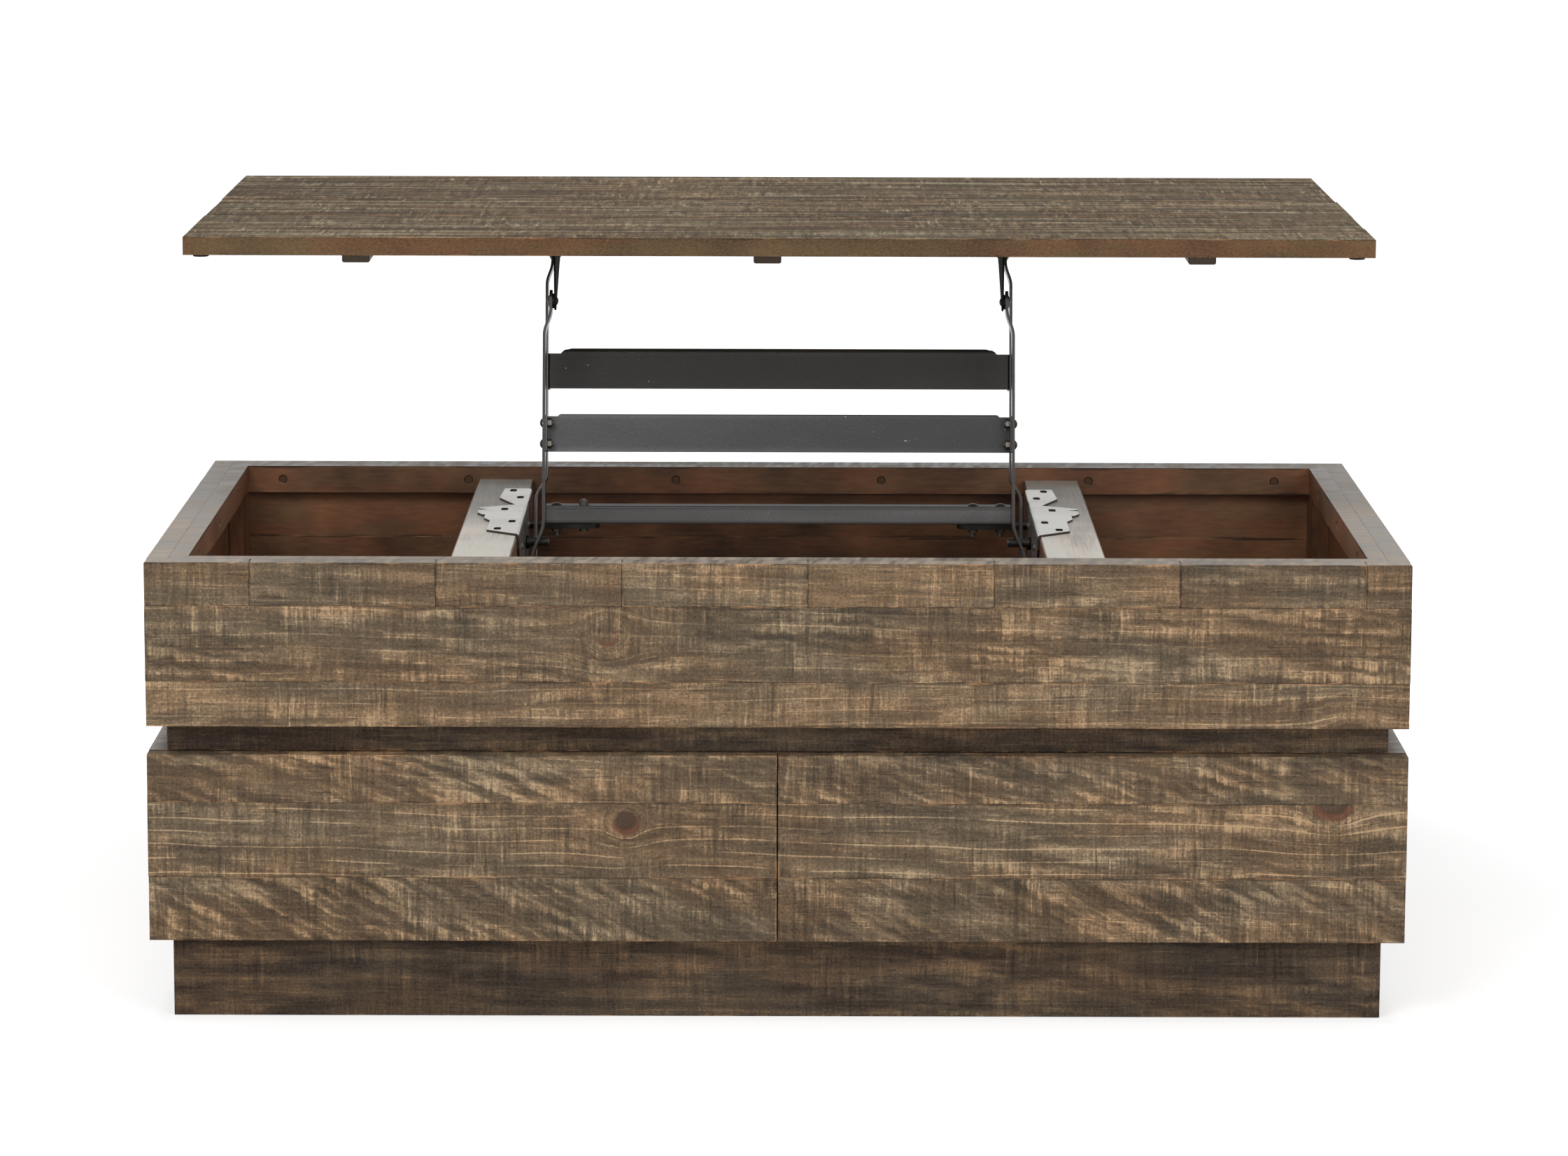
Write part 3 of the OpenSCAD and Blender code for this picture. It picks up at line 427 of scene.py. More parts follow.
def steel_wear():
    """Mottling, smears and small chips on steel."""

    def fill(g, place, scale):
        fine = g.noise(place, scale=scale, detail=3.0, roughness=0.6)
        smear = g.noise(g.scaled(place, 9.0, 34.0, 34.0), detail=3.0)
        spots = g.noise(place, scale=240.0, detail=1.0)
        chips = g.product(g.smooth(spots, 0.77, 0.80), g.smooth(smear, 0.5, 0.6))
        return {"Mottle": fine, "Smear": smear, "Chips": chips}

    return effect("Steel wear", {"Vector": None, "Scale": 700.0}, fill)


def times(shade, factor):
    """A shade made darker or lighter."""
    return tuple(min(1.0, factor * c) for c in shade)


def in_grain(place, seed):
    """A place along, across and into a board, as the board with that seed counts it."""
    along, wide, deep = place
    return (along + 3.7 * seed, wide + 1.3 * seed, deep + 2.1 * seed)


def new_material(name, **settings):
    """A material with an empty Principled shader, as its Graph."""
    material = bpy.data.materials.new(name)
    material.use_nodes = True
    tree = material.node_tree
    tree.nodes.clear()
    g = Graph(tree)
    shader = g.node("ShaderNodeBsdfPrincipled", settings)
    g.node("ShaderNodeOutputMaterial", {"Surface": shader.outputs[0]})
    return material, g, shader.inputs


def in_view(g):
    """1 where a thing is seen, directly, in gloss or through glass, and 0 for its light alone."""
    seen = g.node("ShaderNodeLightPath").outputs
    direct = g.either(seen["Is Camera Ray"], seen["Is Glossy Ray"])
    return g.either(direct, seen["Is Transmission Ray"])


def sawn_wood(name, shades, knots=(), pitch=240.0, reach=14.0, width=0.0105,
              spacing=0.0135, wander=1.6, level=0.42, contrast=1.0, marks=0.55, bands=0.62,
              cuts=0.26, clouds=0.5, gloss=0.2):
    """Sawn, stained and worn softwood. Its shades are dark, middle and light wood, a knot's heart
    and rim, and rubbed edges."""
    material, g, shader = new_material(name, **{"Specular IOR Level": gloss})
    grain = g.attribute("grain")
    push, heart, rim, rings = 0.0, 0.0, 0.0, 0.0
    for seed, centre, radius, depth in knots:
        one = g.use(knot(), Vector=grain, Centre=in_grain(centre, seed), Radius=radius, Depth=depth)
        push, heart = g.math("ADD", push, one["Push"]), g.either(heart, one["Heart"])
        rim, rings = g.either(rim, one["Rim"]), g.either(rings, one["Rings"])
    u, v, w = g.split(grain)[0:3]
    bent = g.joined(u, g.less(v, push), w)
    slope, flecked, lined = g.split(g.attribute("cut"))[0:3]
    tone = g.attribute("tone", "Fac")
    edge = g.use(board_edge(), Low=g.attribute("low"), High=g.attribute("high"))["Distance"]
    saw = g.use(saw_marks(), Vector=grain, Pitch=pitch, Reach=reach)
    patches = g.use(figure(), Vector=bent, Shift=saw["Shift"], Slope=slope, Width=width)["Patches"]
    lines = g.use(
        growth(), Vector=bent, Spacing=spacing, Wander=wander, Slope=g.product(slope, 0.15))
    wear = g.use(edge_wear(), Vector=grain, Distance=edge)
    cloud = g.noise(g.scaled(bent, 6.0, 15.0, 15.0), detail=4.0, roughness=0.6)
    speckle = g.noise(grain, scale=360.0, detail=2.0, roughness=0.7)
    stroke = g.sum((saw["Marks"], 0.9), 0.55)
    stretch = g.noise(g.joined(g.product(u, 4.5), g.product(v, 17.0), w))
    stretch = g.smooth(stretch, 0.35, 0.65, 0.45, 1.45)
    rough = g.math("MULTIPLY_ADD", flecked, 0.65, 0.35)
    value = g.sum(
        level, tone,
        (g.product(g.less(patches, 0.42), flecked, stroke, stretch), 0.46 * contrast),
        (g.product(lines["Lines"], lined), 0.46 * contrast),
        (g.less(lines["Bands"]), bands * contrast), (lines["Pores"], 0.28 * contrast),
        (g.less(cloud), clouds * contrast),
        (g.product(g.less(saw["Marks"]), rough), marks * contrast),
        (g.less(speckle), 0.9 * contrast),
        (saw["Cuts"], cuts * contrast), (saw["Slits"], -0.16 * contrast),
        (wear["Worn"], 0.34), (wear["Dirt"], -0.32), (rings, -0.20),
    )
    dark, mid, light, heartwood, knot_rim, rubbed = shades
    soft = tuple(0.72 * a + 0.28 * b for a, b in zip(mid, light))
    painted = g.ramp(value, (0.0, dark), (0.42, mid), (0.68, soft), (1.0, light))
    warmth = g.smooth(g.noise(g.scaled(bent, 6.0, 18.0, 18.0), detail=3.0), 0.35, 0.65)
    painted = g.mix(warmth, g.mix(1.0, painted, (0.96, 1.01, 1.02), "MULTIPLY"),
                    g.mix(1.0, painted, (1.06, 0.98, 0.90), "MULTIPLY"))
    painted = g.mix(g.product(wear["Worn"], 0.55), painted, rubbed)
    painted = g.mix(heart, painted, heartwood)
    painted = g.mix(g.product(rim, 0.7), painted, knot_rim)
    g.feed(shader["Base Color"], painted)
    g.feed(shader["Roughness"], g.smooth(value, 0.0, 1.0, 0.72, 0.52))
    height = g.sum(
        (saw["Marks"], 0.8), (speckle, 0.3), (patches, 0.15), (wear["Dirt"], -0.5),
        (saw["Slits"], -0.5), (lines["Pores"], 0.2),
    )
    g.feed(shader["Normal"], g.bump(height, 0.0003))
    return material


def end_grain(name, shade):
    """Sawn ends with their growth rings."""
    material, g, shader = new_material(name, **{"Specular IOR Level": 0.2})
    u, v, w = g.split(g.attribute("grain"))[0:3]
    far = g.length(g.joined(0.0, g.less(v, 0.013), g.math("ADD", w, 0.045)))
    rough = g.noise(g.attribute("grain"), scale=160.0, detail=3.0)
    ring = g.math("SINE", g.sum((far, 1900.0), (rough, 5.0)))
    value = g.sum(0.45, (ring, 0.16), (g.less(rough), 1.2), (g.attribute("tone", "Fac"), 0.5))
    stops = ((0.0, times(shade, 0.5)), (0.45, shade), (1.0, times(shade, 1.5)))
    g.feed(shader["Base Color"], g.ramp(value, *stops))
    g.feed(shader["Roughness"], g.smooth(value, 0.0, 1.0, 0.85, 0.7))
    g.feed(shader["Normal"], g.bump(value, 0.0003))
    return material


def stained_wood(name, shade, gloss=0.4, dark=0.55, light=1.35, streak=26.0, fine=420.0,
                 lean=0.0, streaked=0.9, scratched=0.45, shaded=0.0, short=14.0, sheen=0.52,
                 worn=0.3, dirty=0.4, clouded=0.7, tinted=0.3):
    """Planed and stained boards, with streaks along them and scratches that may lean. They may
    be darker towards the middle of the table."""
    material, g, shader = new_material(name, **{"Specular IOR Level": gloss})
    grain = g.attribute("grain")
    edge = g.use(board_edge(), Low=g.attribute("low"), High=g.attribute("high"))["Distance"]
    wear = g.use(edge_wear(), Vector=grain, Distance=edge)
    long = g.noise(g.scaled(grain, 2.2, streak, streak), detail=4.0, roughness=0.6)
    u, v, w = g.split(grain)[0:3]
    wide = g.math("ADD", v, w)
    along, across = g.sum((wide, lean), (u, 1.0)), g.sum((u, -lean), (wide, 1.0))
    scratch = g.noise(g.joined(g.product(along, short), g.product(across, fine), 0.0))
    cloud = g.noise(grain, scale=11.0, detail=3.0)
    value = g.sum(
        0.45, g.attribute("tone", "Fac"), (g.less(long), streaked), (g.less(scratch), scratched),
        (g.less(cloud), clouded), (wear["Worn"], worn), (wear["Dirt"], -dirty),
    )
    if shaded:
        off = g.math("ABSOLUTE", g.split(g.place())[0])
        value = g.sum(value, (g.smooth(off, 0.40, 0.28, -0.35, 1.0), -shaded))
    stain = g.ramp(value, (0.0, times(shade, dark)), (0.45, shade), (1.0, times(shade, light)))
    warmth = g.smooth(g.noise(g.scaled(grain, 9.0, 30.0, 30.0), detail=3.0), 0.38, 0.62)
    g.feed(shader["Base Color"], g.mix(warmth, g.mix(tinted, stain, (0.9, 1.03, 1.0), "MULTIPLY"),
                                       g.mix(tinted, stain, (1.1, 0.97, 0.92), "MULTIPLY")))
    g.feed(shader["Roughness"], g.smooth(value, 0.0, 1.0, sheen - 0.1, sheen + 0.1))
    g.feed(shader["Normal"], g.bump(g.sum((scratch, 0.5), (long, 0.6)), 0.0002))
    return material


def painted_steel(name, shade, shine=0.42, gloss=0.3, painted_sheen=None):
    """Satin paint over pressed steel. A painted sheen is light and shade painted on a face,
    changing towards its two long edges; it is given as the height of the face's middle, half its
    width, how much darker it is painted to the right and upwards, and how much paler its edges are
    painted."""
    material, g, shader = new_material(name, **{"Specular IOR Level": gloss})
    place = g.place()
    wear = g.use(steel_wear(), Vector=place, Scale=620.0)
    value = g.sum(0.4, (g.less(wear["Smear"]), 0.5), (g.less(wear["Mottle"]), 0.5))
    if painted_sheen:
        # Painted light and shade, not the paint's own colour: darker to the right and above the
        # face's middle, and lighter towards its long edges, darker there where the last number is
        # negative
        middle, reach, painted_shade_rightward, painted_shade_upward, pale = painted_sheen
        x, y, z = g.split(place)[0:3]
        up = g.less(z, middle)
        edge = g.smooth(g.math("ABSOLUTE", up), 0.6 * reach, reach)
        value = g.sum(value, (x, -painted_shade_rightward), (up, -painted_shade_upward), (edge, pale))
    stops = ((0.0, 0.6), (0.4, 1.0), (0.7, 1.6), (1.0, 2.6))
    paint = g.ramp(value, *((at, times(shade, factor)) for at, factor in stops))
    g.feed(shader["Base Color"], g.mix(wear["Chips"], paint, (0.5, 0.5, 0.5)))
    g.feed(shader["Roughness"], g.smooth(value, 0.0, 1.0, shine + 0.06, shine - 0.06))
    g.feed(shader["Normal"], g.bump(wear["Mottle"], 0.0004))
    return material


def bare_metal(name, shade, low=0.28, high=0.46, scale=700.0, metallic=0.9, mottled=0.6,
               smeared=1.1):
    """Bare or plated steel with handling marks."""
    material, g, shader = new_material(name, Metallic=metallic)
    wear = g.use(steel_wear(), Vector=g.place(), Scale=scale)
    value = g.sum(0.5, (g.less(wear["Smear"]), smeared), (g.less(wear["Mottle"]), mottled))
    stops = ((0.0, times(shade, 0.68)), (0.5, shade), (1.0, times(shade, 1.15)))
    g.feed(shader["Base Color"], g.ramp(value, *stops))
    g.feed(shader["Roughness"], g.smooth(value, 0.0, 1.0, high, low))
    g.feed(shader["Normal"], g.bump(wear["Mottle"], 0.00008 * mottled))
    return material


def rubber(name, shade):
    """Matt rubber with a fine bloom."""
    material, g, shader = new_material(name, **{"Specular IOR Level": 0.3})
    bloom = g.noise(g.place(), scale=300.0, detail=3.0)
    g.feed(shader["Base Color"], g.ramp(bloom, (0.3, shade), (0.8, times(shade, 1.8))))
    g.feed(shader["Roughness"], g.smooth(bloom, 0.2, 0.8, 0.7, 0.9))
    g.feed(shader["Normal"], g.bump(bloom, 0.0001))
    return material


# Each knot's board, by its seed, its place in the table, its half sizes and how dark it is
FACE_KNOTS = (
    (21, (-0.171, 0.396, -0.355), (0.016, 0.015, 0.03), 0.3),
    (101, (-0.153, 0.2065, -0.355), (0.0125, 0.0115, 0.03), 0.9),
    (101, (0.560, 0.2262, -0.355), (0.019, 0.014, 0.03), 0.75),
    (22, (0.575, 0.3015, -0.355), (0.019, 0.009, 0.03), 0.7),
    (33, (-0.130, 0.388, 0.634), (0.015, 0.013, 0.03), 0.8),
    (57, (0.190, 0.118, 0.634), (0.013, 0.011, 0.03), 0.9),
    (52, (0.080, 0.182, -0.634), (0.013, 0.012, 0.03), 0.8),
    (29, (-0.220, 0.408, -0.634), (0.013, 0.012, 0.03), 0.5),
    (25, (0.310, 0.380, 0.355), (0.016, 0.014, 0.03), 0.8),
    (62, (-0.270, 0.185, 0.355), (0.013, 0.012, 0.03), 0.9),
)
LID_KNOTS = (
    (134, (0.330, 0.652, 0.754), (0.070, 0.0045, 0.03), 0.8),
    (132, (-0.250, 0.330, 0.754), (0.018, 0.012, 0.03), 0.6),
    (131, (0.110, 0.205, 0.754), (0.014, 0.011, 0.03), 0.8),
)


def finish(key):
    """The named finish, made the first time that a piece asks for it."""
    made = bpy.data.materials.get(key)
    if made:
        return made
    c = bpy.context.scene.table_colours
    knots = (c.heartwood, c.knot_rim, c.rubbed)
    face = (c.face_dark, c.face_mid, c.face_light, *knots)
    lid = (c.lid_dark, c.lid_mid, c.lid_light, *knots)
    base = (c.base_dark, c.base_mid, c.base_light, *knots)
    maker, shade, settings = {
        "Sawn face": (sawn_wood, face, dict(knots=FACE_KNOTS)),
        "Sawn lid": (sawn_wood, lid, dict(
            knots=LID_KNOTS, pitch=170.0, reach=15.0, width=0.020, spacing=0.020, level=0.34,
            contrast=1.1, marks=1.25, bands=1.9, cuts=0.5, clouds=0.15, gloss=0.06)),
        "Dark base": (sawn_wood, base, dict(
            width=0.014, contrast=1.05, marks=0.42, bands=0.9, clouds=0.9)),
        "End grain": (end_grain, c.end_grain, {}),
        "Lid edge": (stained_wood, c.lid_edge, dict(
            gloss=0.2, dark=0.4, light=1.7, fine=640.0, lean=0.6, scratched=1.5, short=200.0,
            worn=0.9, clouded=1.4, tinted=0.8)),
        # The Rim finish's light grey is partly the top edges' own greyer wood and partly painted
        # reflection of the white surroundings
        "Rim": (stained_wood, c.rim, dict(
            gloss=0.55, dark=0.4, light=1.5, fine=17.0, lean=6.0, short=1.2, scratched=2.7,
            sheen=0.44, streaked=1.3, clouded=1.4, tinted=0.15)),
        "Inside": (stained_wood, c.inner, dict(
            gloss=0.5, dark=0.3, light=2.0, streak=12.0, streaked=0.55, shaded=0.12, fine=260.0,
            short=45.0, scratched=0.5, dirty=1.4, clouded=1.3, tinted=0.8)),
        # The Rail finish paints the sheen of the rails' dark stain as a near-white grey, a painted
        # reflection
        "Rail": (stained_wood, c.rail, dict(
            dark=0.5, light=1.2, streak=20.0, streaked=1.2, scratched=0.7, clouded=1.1)),
        "Drawer box": (stained_wood, c.drawer_box, dict(gloss=0.35, dark=0.75, light=1.2)),
        "Black paint": (painted_steel, c.black, {}),
        # Arm paint is the black paint 1.4 times lighter, painted light on the arms
        "Arm paint": (painted_steel, times(c.black, 1.4), dict(shine=0.28, gloss=0.5)),
        # Matt paint is the black paint at 0.7 of its shade, painted shade on the lid brackets, with
        # a matt finish
        "Matt paint": (painted_steel, times(c.black, 0.7), dict(shine=0.8, gloss=0.05)),
        # Painted light: the front bar is painted darker to the right, and the rear bar darker above
        # its middle; both have painted highlights along their long edges
        "Front bar paint": (painted_steel, c.grey, dict(
            shine=0.36, gloss=0.4, painted_sheen=(0.539, 0.0205, 1.5, 0.0, 0.35))),
        "Rear bar paint": (painted_steel, c.black, dict(painted_sheen=(0.5955, 0.0225, 0.0, 5.0, 0.35))),
        # The base bar's grey paint is lightened 3.2 times as painted light; it is painted lighter
        # to the right and darker towards its long edges as painted shade
        "Base bar paint": (painted_steel, times(c.grey, 3.2), dict(
            shine=0.34, gloss=0.4, painted_sheen=(0.437, 0.0085, -0.5, 0.0, -0.55))),
        # Grey edge is the grey paint 1.8 times lighter on the bars' eased edges, a painted
        # highlight along their folds
        "Grey edge": (painted_steel, times(c.grey, 1.8), dict(shine=0.3, gloss=0.6)),
        # Channel paint takes the lightened channel colour: painted light on the channels and their
        # end plates
        "Channel paint": (painted_steel, c.channel, dict(shine=0.5)),
        "Burnt edge": (painted_steel, c.burnt, dict(shine=0.5)),
        "Rubbed paint": (bare_metal, times(c.black, 16.0), dict(low=0.22, high=0.36)),
        "Bare plate": (bare_metal, c.plate, dict(mottled=0.3, smeared=0.5)),
        # Bracket side is the plate's steel at half its shade, painted shade on the brackets'
        # hanging sides
        "Bracket side": (bare_metal, times(c.plate, 0.5), dict(
            low=0.2, high=0.32, mottled=0.05, smeared=0.5)),
        "Zinc": (bare_metal, c.zinc, dict(scale=900.0)),
        "Old zinc": (bare_metal, c.old_zinc, dict(low=0.34, high=0.5, scale=900.0)),
        "Brass": (bare_metal, c.brass, dict(low=0.4, high=0.6, metallic=0.7)),
        "Rubber": (rubber, c.rubber, {}),
    }[key]
    return maker(key, shade, **settings)


class Boards:
    """Collects the boards of one piece, each with its own grain and edges."""

    def __init__(self, *finishes):
        self.finishes = finishes
        self.points, self.faces, self.skins = [], [], []
        self.marks = {"grain": [], "low": [], "high": [], "cut": []}
        self.tones = []

    def note(self, point, low, high, order, seed, cut, tone):
        """Stores one point with its place in the board's own grain."""
        along, wide, deep = order
        self.points.append(point)
        self.marks["grain"].append(in_grain((point[along], point[wide], point[deep]), seed))
        self.marks["low"].append(tuple(point[i] - low[i] for i in range(3)))
        self.marks["high"].append(tuple(high[i] - point[i] for i in range(3)))
        self.marks["cut"].append(cut)
        self.tones.append(tone)

    def add(self, face, skin):
        """Stores one face, as its points' numbers, with the number of its finish."""
        self.faces.append(face)
        self.skins.append(skin)

    def board(self, low, high, along="x", seed=0.0, cut=(0.0, 0.5, 0.5), tone=0.0,
              skins=None, round_to=None, end=None):
        """Adds one board whose long edges are eased and knocked unevenly. Skins number the
        finishes of its sides, and a board that is rounded to a given size has no knocks."""
        sizes, skins = bpy.context.scene.table_sizes, skins or {}
        soft, wear = (sizes.board_edge, sizes.board_wear) if round_to is None else (round_to, 0.0)
        end = soft if end is None else end
        line = AXES[along]
        a, b = (line + 1) % 3, (line + 2) % 3
        wide, deep = (a, b) if high[a] - low[a] > high[b] - low[b] else (b, a)
        span = high[line] - low[line]
        count = max(1, round(span / sizes.board_step))
        ends = [(0.0, end), (0.4 * end, 0.45 * end), (end, 0.0)]
        stations = [(low[line] + s, k) for s, k in ends]
        stations += [(low[line] + end + (span - 2 * end) * i / count, 0.0) for i in range(1, count)]
        stations += [(high[line] - s, k) for s, k in reversed(ends)]
        arc = [math.radians(t) for t in (0, 30, 60, 90)]
        corners = (
            (low[a], low[b], 1, 1, 180, (b, -1)), (high[a], low[b], -1, 1, 270, (a, 1)),
            (high[a], high[b], -1, -1, 0, (b, 1)), (low[a], high[b], 1, -1, 90, (a, -1)),
        )
        first, ring = len(self.points), len(corners) * len(arc)
        for s, k in stations:
            for n, (ca, cb, sa, sb, turn, _) in enumerate(corners):
                slow = noise.noise(Vector((s * 14.0, n * 5.3, seed * 9.1)))
                knock = max(0.0, noise.noise(Vector((s * 75.0, n * 8.9, seed * 4.3))) - 0.18)
                r = soft * (1.0 + 0.5 * slow) + wear * min(1.0, 2.2 * knock)
                for t in arc:
                    angle = math.radians(turn) + t
                    point = [s] * 3
                    point[a] = ca + sa * (r + k) + r * math.cos(angle)
                    point[b] = cb + sb * (r + k) + r * math.sin(angle)
                    self.note(tuple(point), low, high, (line, wide, deep), seed, cut, tone)
        flat = [skins.get(corner[-1], 0) for corner in corners]
        for i in range(len(stations) - 1):
            for j in range(ring):
                p, q = first + i * ring + j, first + i * ring + (j + 1) % ring
                corner, place = divmod(j, len(arc))
                round_part = place < len(arc) - 1
                skin = min(flat[corner - 1], flat[corner]) if round_part else flat[corner]
                self.add((p, q, q + ring, p + ring), skin)
        last = first + (len(stations) - 1) * ring
        self.add([first + j for j in reversed(range(ring))], skins.get((line, -1), 0))
        self.add([last + j for j in range(ring)], skins.get((line, 1), 0))

    def solid(self, shape, along="x", seed=0.0, skins=None):
        """Adds a shape taken over from the frame, with each loose part as its own board."""
        skins, line = skins or {}, AXES[along]
        part, boxes = loose_parts(shape)
        others = [i for i in range(3) if i != line]
        first = len(self.points)
        for v in shape.verts:
            number = part[v.index]
            low, high = boxes[number]
            others.sort(key=lambda i: low[i] - high[i])
            self.note(tuple(v.co), low, high, (line, *others), seed + 0.37 * (number % 11),
                      (0.0, 0.5, 0.5), 0.0)
        for face in shape.faces:
            axis = max(range(3), key=lambda i: abs(face.normal[i]))
            sign = 1 if face.normal[axis] > 0 else -1
            self.add([first + v.index for v in face.verts], skins.get((axis, sign), 0))
        shape.free()

    def make(self, name, body, slot, *nodes):
        """Makes the piece, hangs it on its body and lets it stand for its nodes."""
        mesh = bpy.data.meshes.new(name)
        mesh.from_pydata(self.points, [], self.faces)
        mesh.update()
        for key, values in self.marks.items():
            store = mesh.attributes.new(key, "FLOAT_VECTOR", "POINT")
            store.data.foreach_set("vector", [x for value in values for x in value])
        store = mesh.attributes.new("tone", "FLOAT", "POINT")
        store.data.foreach_set("value", self.tones)
        mesh.polygons.foreach_set("material_index", self.skins)
        return settle(mesh, name, body, self.finishes, nodes)


def settle(mesh, name, body, finishes, nodes):
    """Makes an object of a mesh, with its finishes, its body and the nodes it stands for."""
    for key in finishes:
        mesh.materials.append(finish(key))
    mesh.polygons.foreach_set("use_smooth", [True] * len(mesh.polygons))
    piece = bpy.data.objects.new(name, mesh)
    bpy.context.scene.collection.objects.link(piece)
    shading = piece.modifiers.new("Even shading", "WEIGHTED_NORMAL")
    shading.weight = 60
    shading.keep_sharp = True
    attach(piece, body)
    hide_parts(*nodes)
    return piece


def taken_over(node, seam=SEAM):
    """A node's own shape, with its seams joined and its flat faces whole."""
    shape = bmesh.new()
    shape.from_mesh(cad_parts[node].data)
    bmesh.ops.remove_doubles(shape, verts=shape.verts[:], dist=seam)
    bmesh.ops.dissolve_degenerate(shape, dist=0.000001, edges=shape.edges[:])
    bmesh.ops.dissolve_limit(
        shape, angle_limit=math.radians(FLAT), verts=shape.verts[:], edges=shape.edges[:]
    )
    bmesh.ops.recalc_face_normals(shape, faces=shape.faces[:])
    return shape


def ease(shape, width, skin=-1):
    """Eases the outer edges of a shape; the new faces take the finish numbered skin."""
    outer = [
        e for e in shape.edges
        if e.is_manifold and e.is_convex and e.calc_face_angle() > math.radians(SHARP)
    ]
    bmesh.ops.bevel(
        shape, geom=outer, offset=width, offset_type="OFFSET", segments=2, profile=0.5,
        affect="EDGES", clamp_overlap=True, material=skin,
    )
    shape.normal_update()
    return shape


def loose_parts(shape):
    """The number of the loose part that each point is in, and each part's two corners."""
    shape.verts.index_update()
    part, boxes = {}, {}
    for start in shape.verts:
        if start.index in part:
            continue
        stack, part[start.index] = [start], start.index
        while stack:
            for edge in stack.pop().link_edges:
                for v in edge.verts:
                    if v.index not in part:
                        part[v.index] = start.index
                        stack.append(v)
    for v in shape.verts:
        low, high = boxes.setdefault(part[v.index], ([*v.co], [*v.co]))
        for i in range(3):
            low[i], high[i] = min(low[i], v.co[i]), max(high[i], v.co[i])
    return part, boxes


def loose_boxes(node):
    """The two corners of each loose part of a node."""
    shape = taken_over(node)
    boxes = sorted(loose_parts(shape)[1].values())
    shape.free()
    return boxes


def steel(name, body, slot, finishes, *nodes, width=None, pick=None):
    """Makes one steel piece of the nodes' own shapes with eased edges. The new faces take the
    last finish; pick may choose another finish for a face by its middle and its normal."""
    width = bpy.context.scene.table_sizes.steel_edge if width is None else width
    whole = bmesh.new()
    for node in nodes:
        part = ease(taken_over(node, STEEL_SEAM), width, len(finishes) - 1)
        for face in part.faces if pick else ():
            face.material_index = pick(face.calc_center_median(), face.normal)
        mesh = bpy.data.meshes.new("part")
        part.to_mesh(mesh)
        part.free()
        whole.from_mesh(mesh)
        bpy.data.meshes.remove(mesh)
    mesh = bpy.data.meshes.new(name)
    whole.to_mesh(mesh)
    whole.free()
    return settle(mesh, name, body, finishes, nodes)


def bracket_finish(middle, normal):
    """Which finish of a base bracket a face takes: the bright plate on top, the cut edge, the
    plate's steel at half its shade on the hanging side as painted shade, or black paint on the
    tongue as painted shade.
    """
    if middle.z < TONGUE_TOP and abs(middle.x) < TONGUE_REACH:
        return 3
    if normal.z > 0.6:
        return 0
    return 2 if abs(normal.x) > 0.6 and abs(middle.x) < SIDE_REACH else 1


def rows_down(top, bottom, heights):
    """Heights of boards laid one above another, from the top down."""
    levels = [top]
    for height in heights:
        levels.append(max(bottom, levels[-1] - height))
    return list(zip(levels[1:], levels[:-1]))


def wall(boards, node, rows, along, face, seeds, cuts, tones, skins, ends=(1, 1), first=0):
    """Adds a wall of boards laid one above another, from the row numbered first. Their faces
    stand back unevenly, and so do their ends where ends has a 1."""
    low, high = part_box(node)
    axis, sign = face
    line = AXES[along]
    for k, (z0, z1) in [*enumerate(rows_down(high.z, low.z, rows))][first:]:
        a, b = [*low], [*high]
        a[2], b[2] = z0, z1
        (a if sign < 0 else b)[axis] -= sign * ROW_SET_BACK[k]
        a[line] += ends[0] * ROW_SHORT[k]
        b[line] -= ends[1] * ROW_SHORT[k]
        look = {side: skin for side, skin in skins.items() if side != TOP or k == 0}
        boards.board(a, b, along, seed=seeds[k], cut=cuts[k], tone=tones[k], skins=look)


def plain_boards(name, node, body, slot, look, along="x", seed=0.0, **settings):
    """Makes a node's loose parts as boards of one finish with sawn ends."""
    boards = Boards(look, "End grain")
    for k, (low, high) in enumerate(loose_boxes(node)):
        line = along or "xyz"[max(range(3), key=lambda i: high[i] - low[i])]
        skins = {(AXES[line], 1): 1, (AXES[line], -1): 1}
        boards.board(low, high, line, seed=seed + k, skins=skins, **settings)
    return boards.make(name, body, slot, node)


class Maker:
    """What the operators of the table share."""

    bl_options = {"REGISTER", "UNDO"}


class TABLE_OT_plinth(Maker, bpy.types.Operator):
    """Makes the dark plinth that the table stands on"""

    bl_idname = "table.plinth"
    bl_label = "Plinth"

    def execute(self, context):
        for node, seed in (("plinth_front", 41), ("plinth_back", 43), ("plinth_sides", 45),
                           ("plinth_cross_rail", 48)):
            plain_boards(node + "_board", node, "case", "plinth_wood", "Dark base", None, seed,
                         cut=(-0.06, 0.8, 0.3))
        return {"FINISHED"}


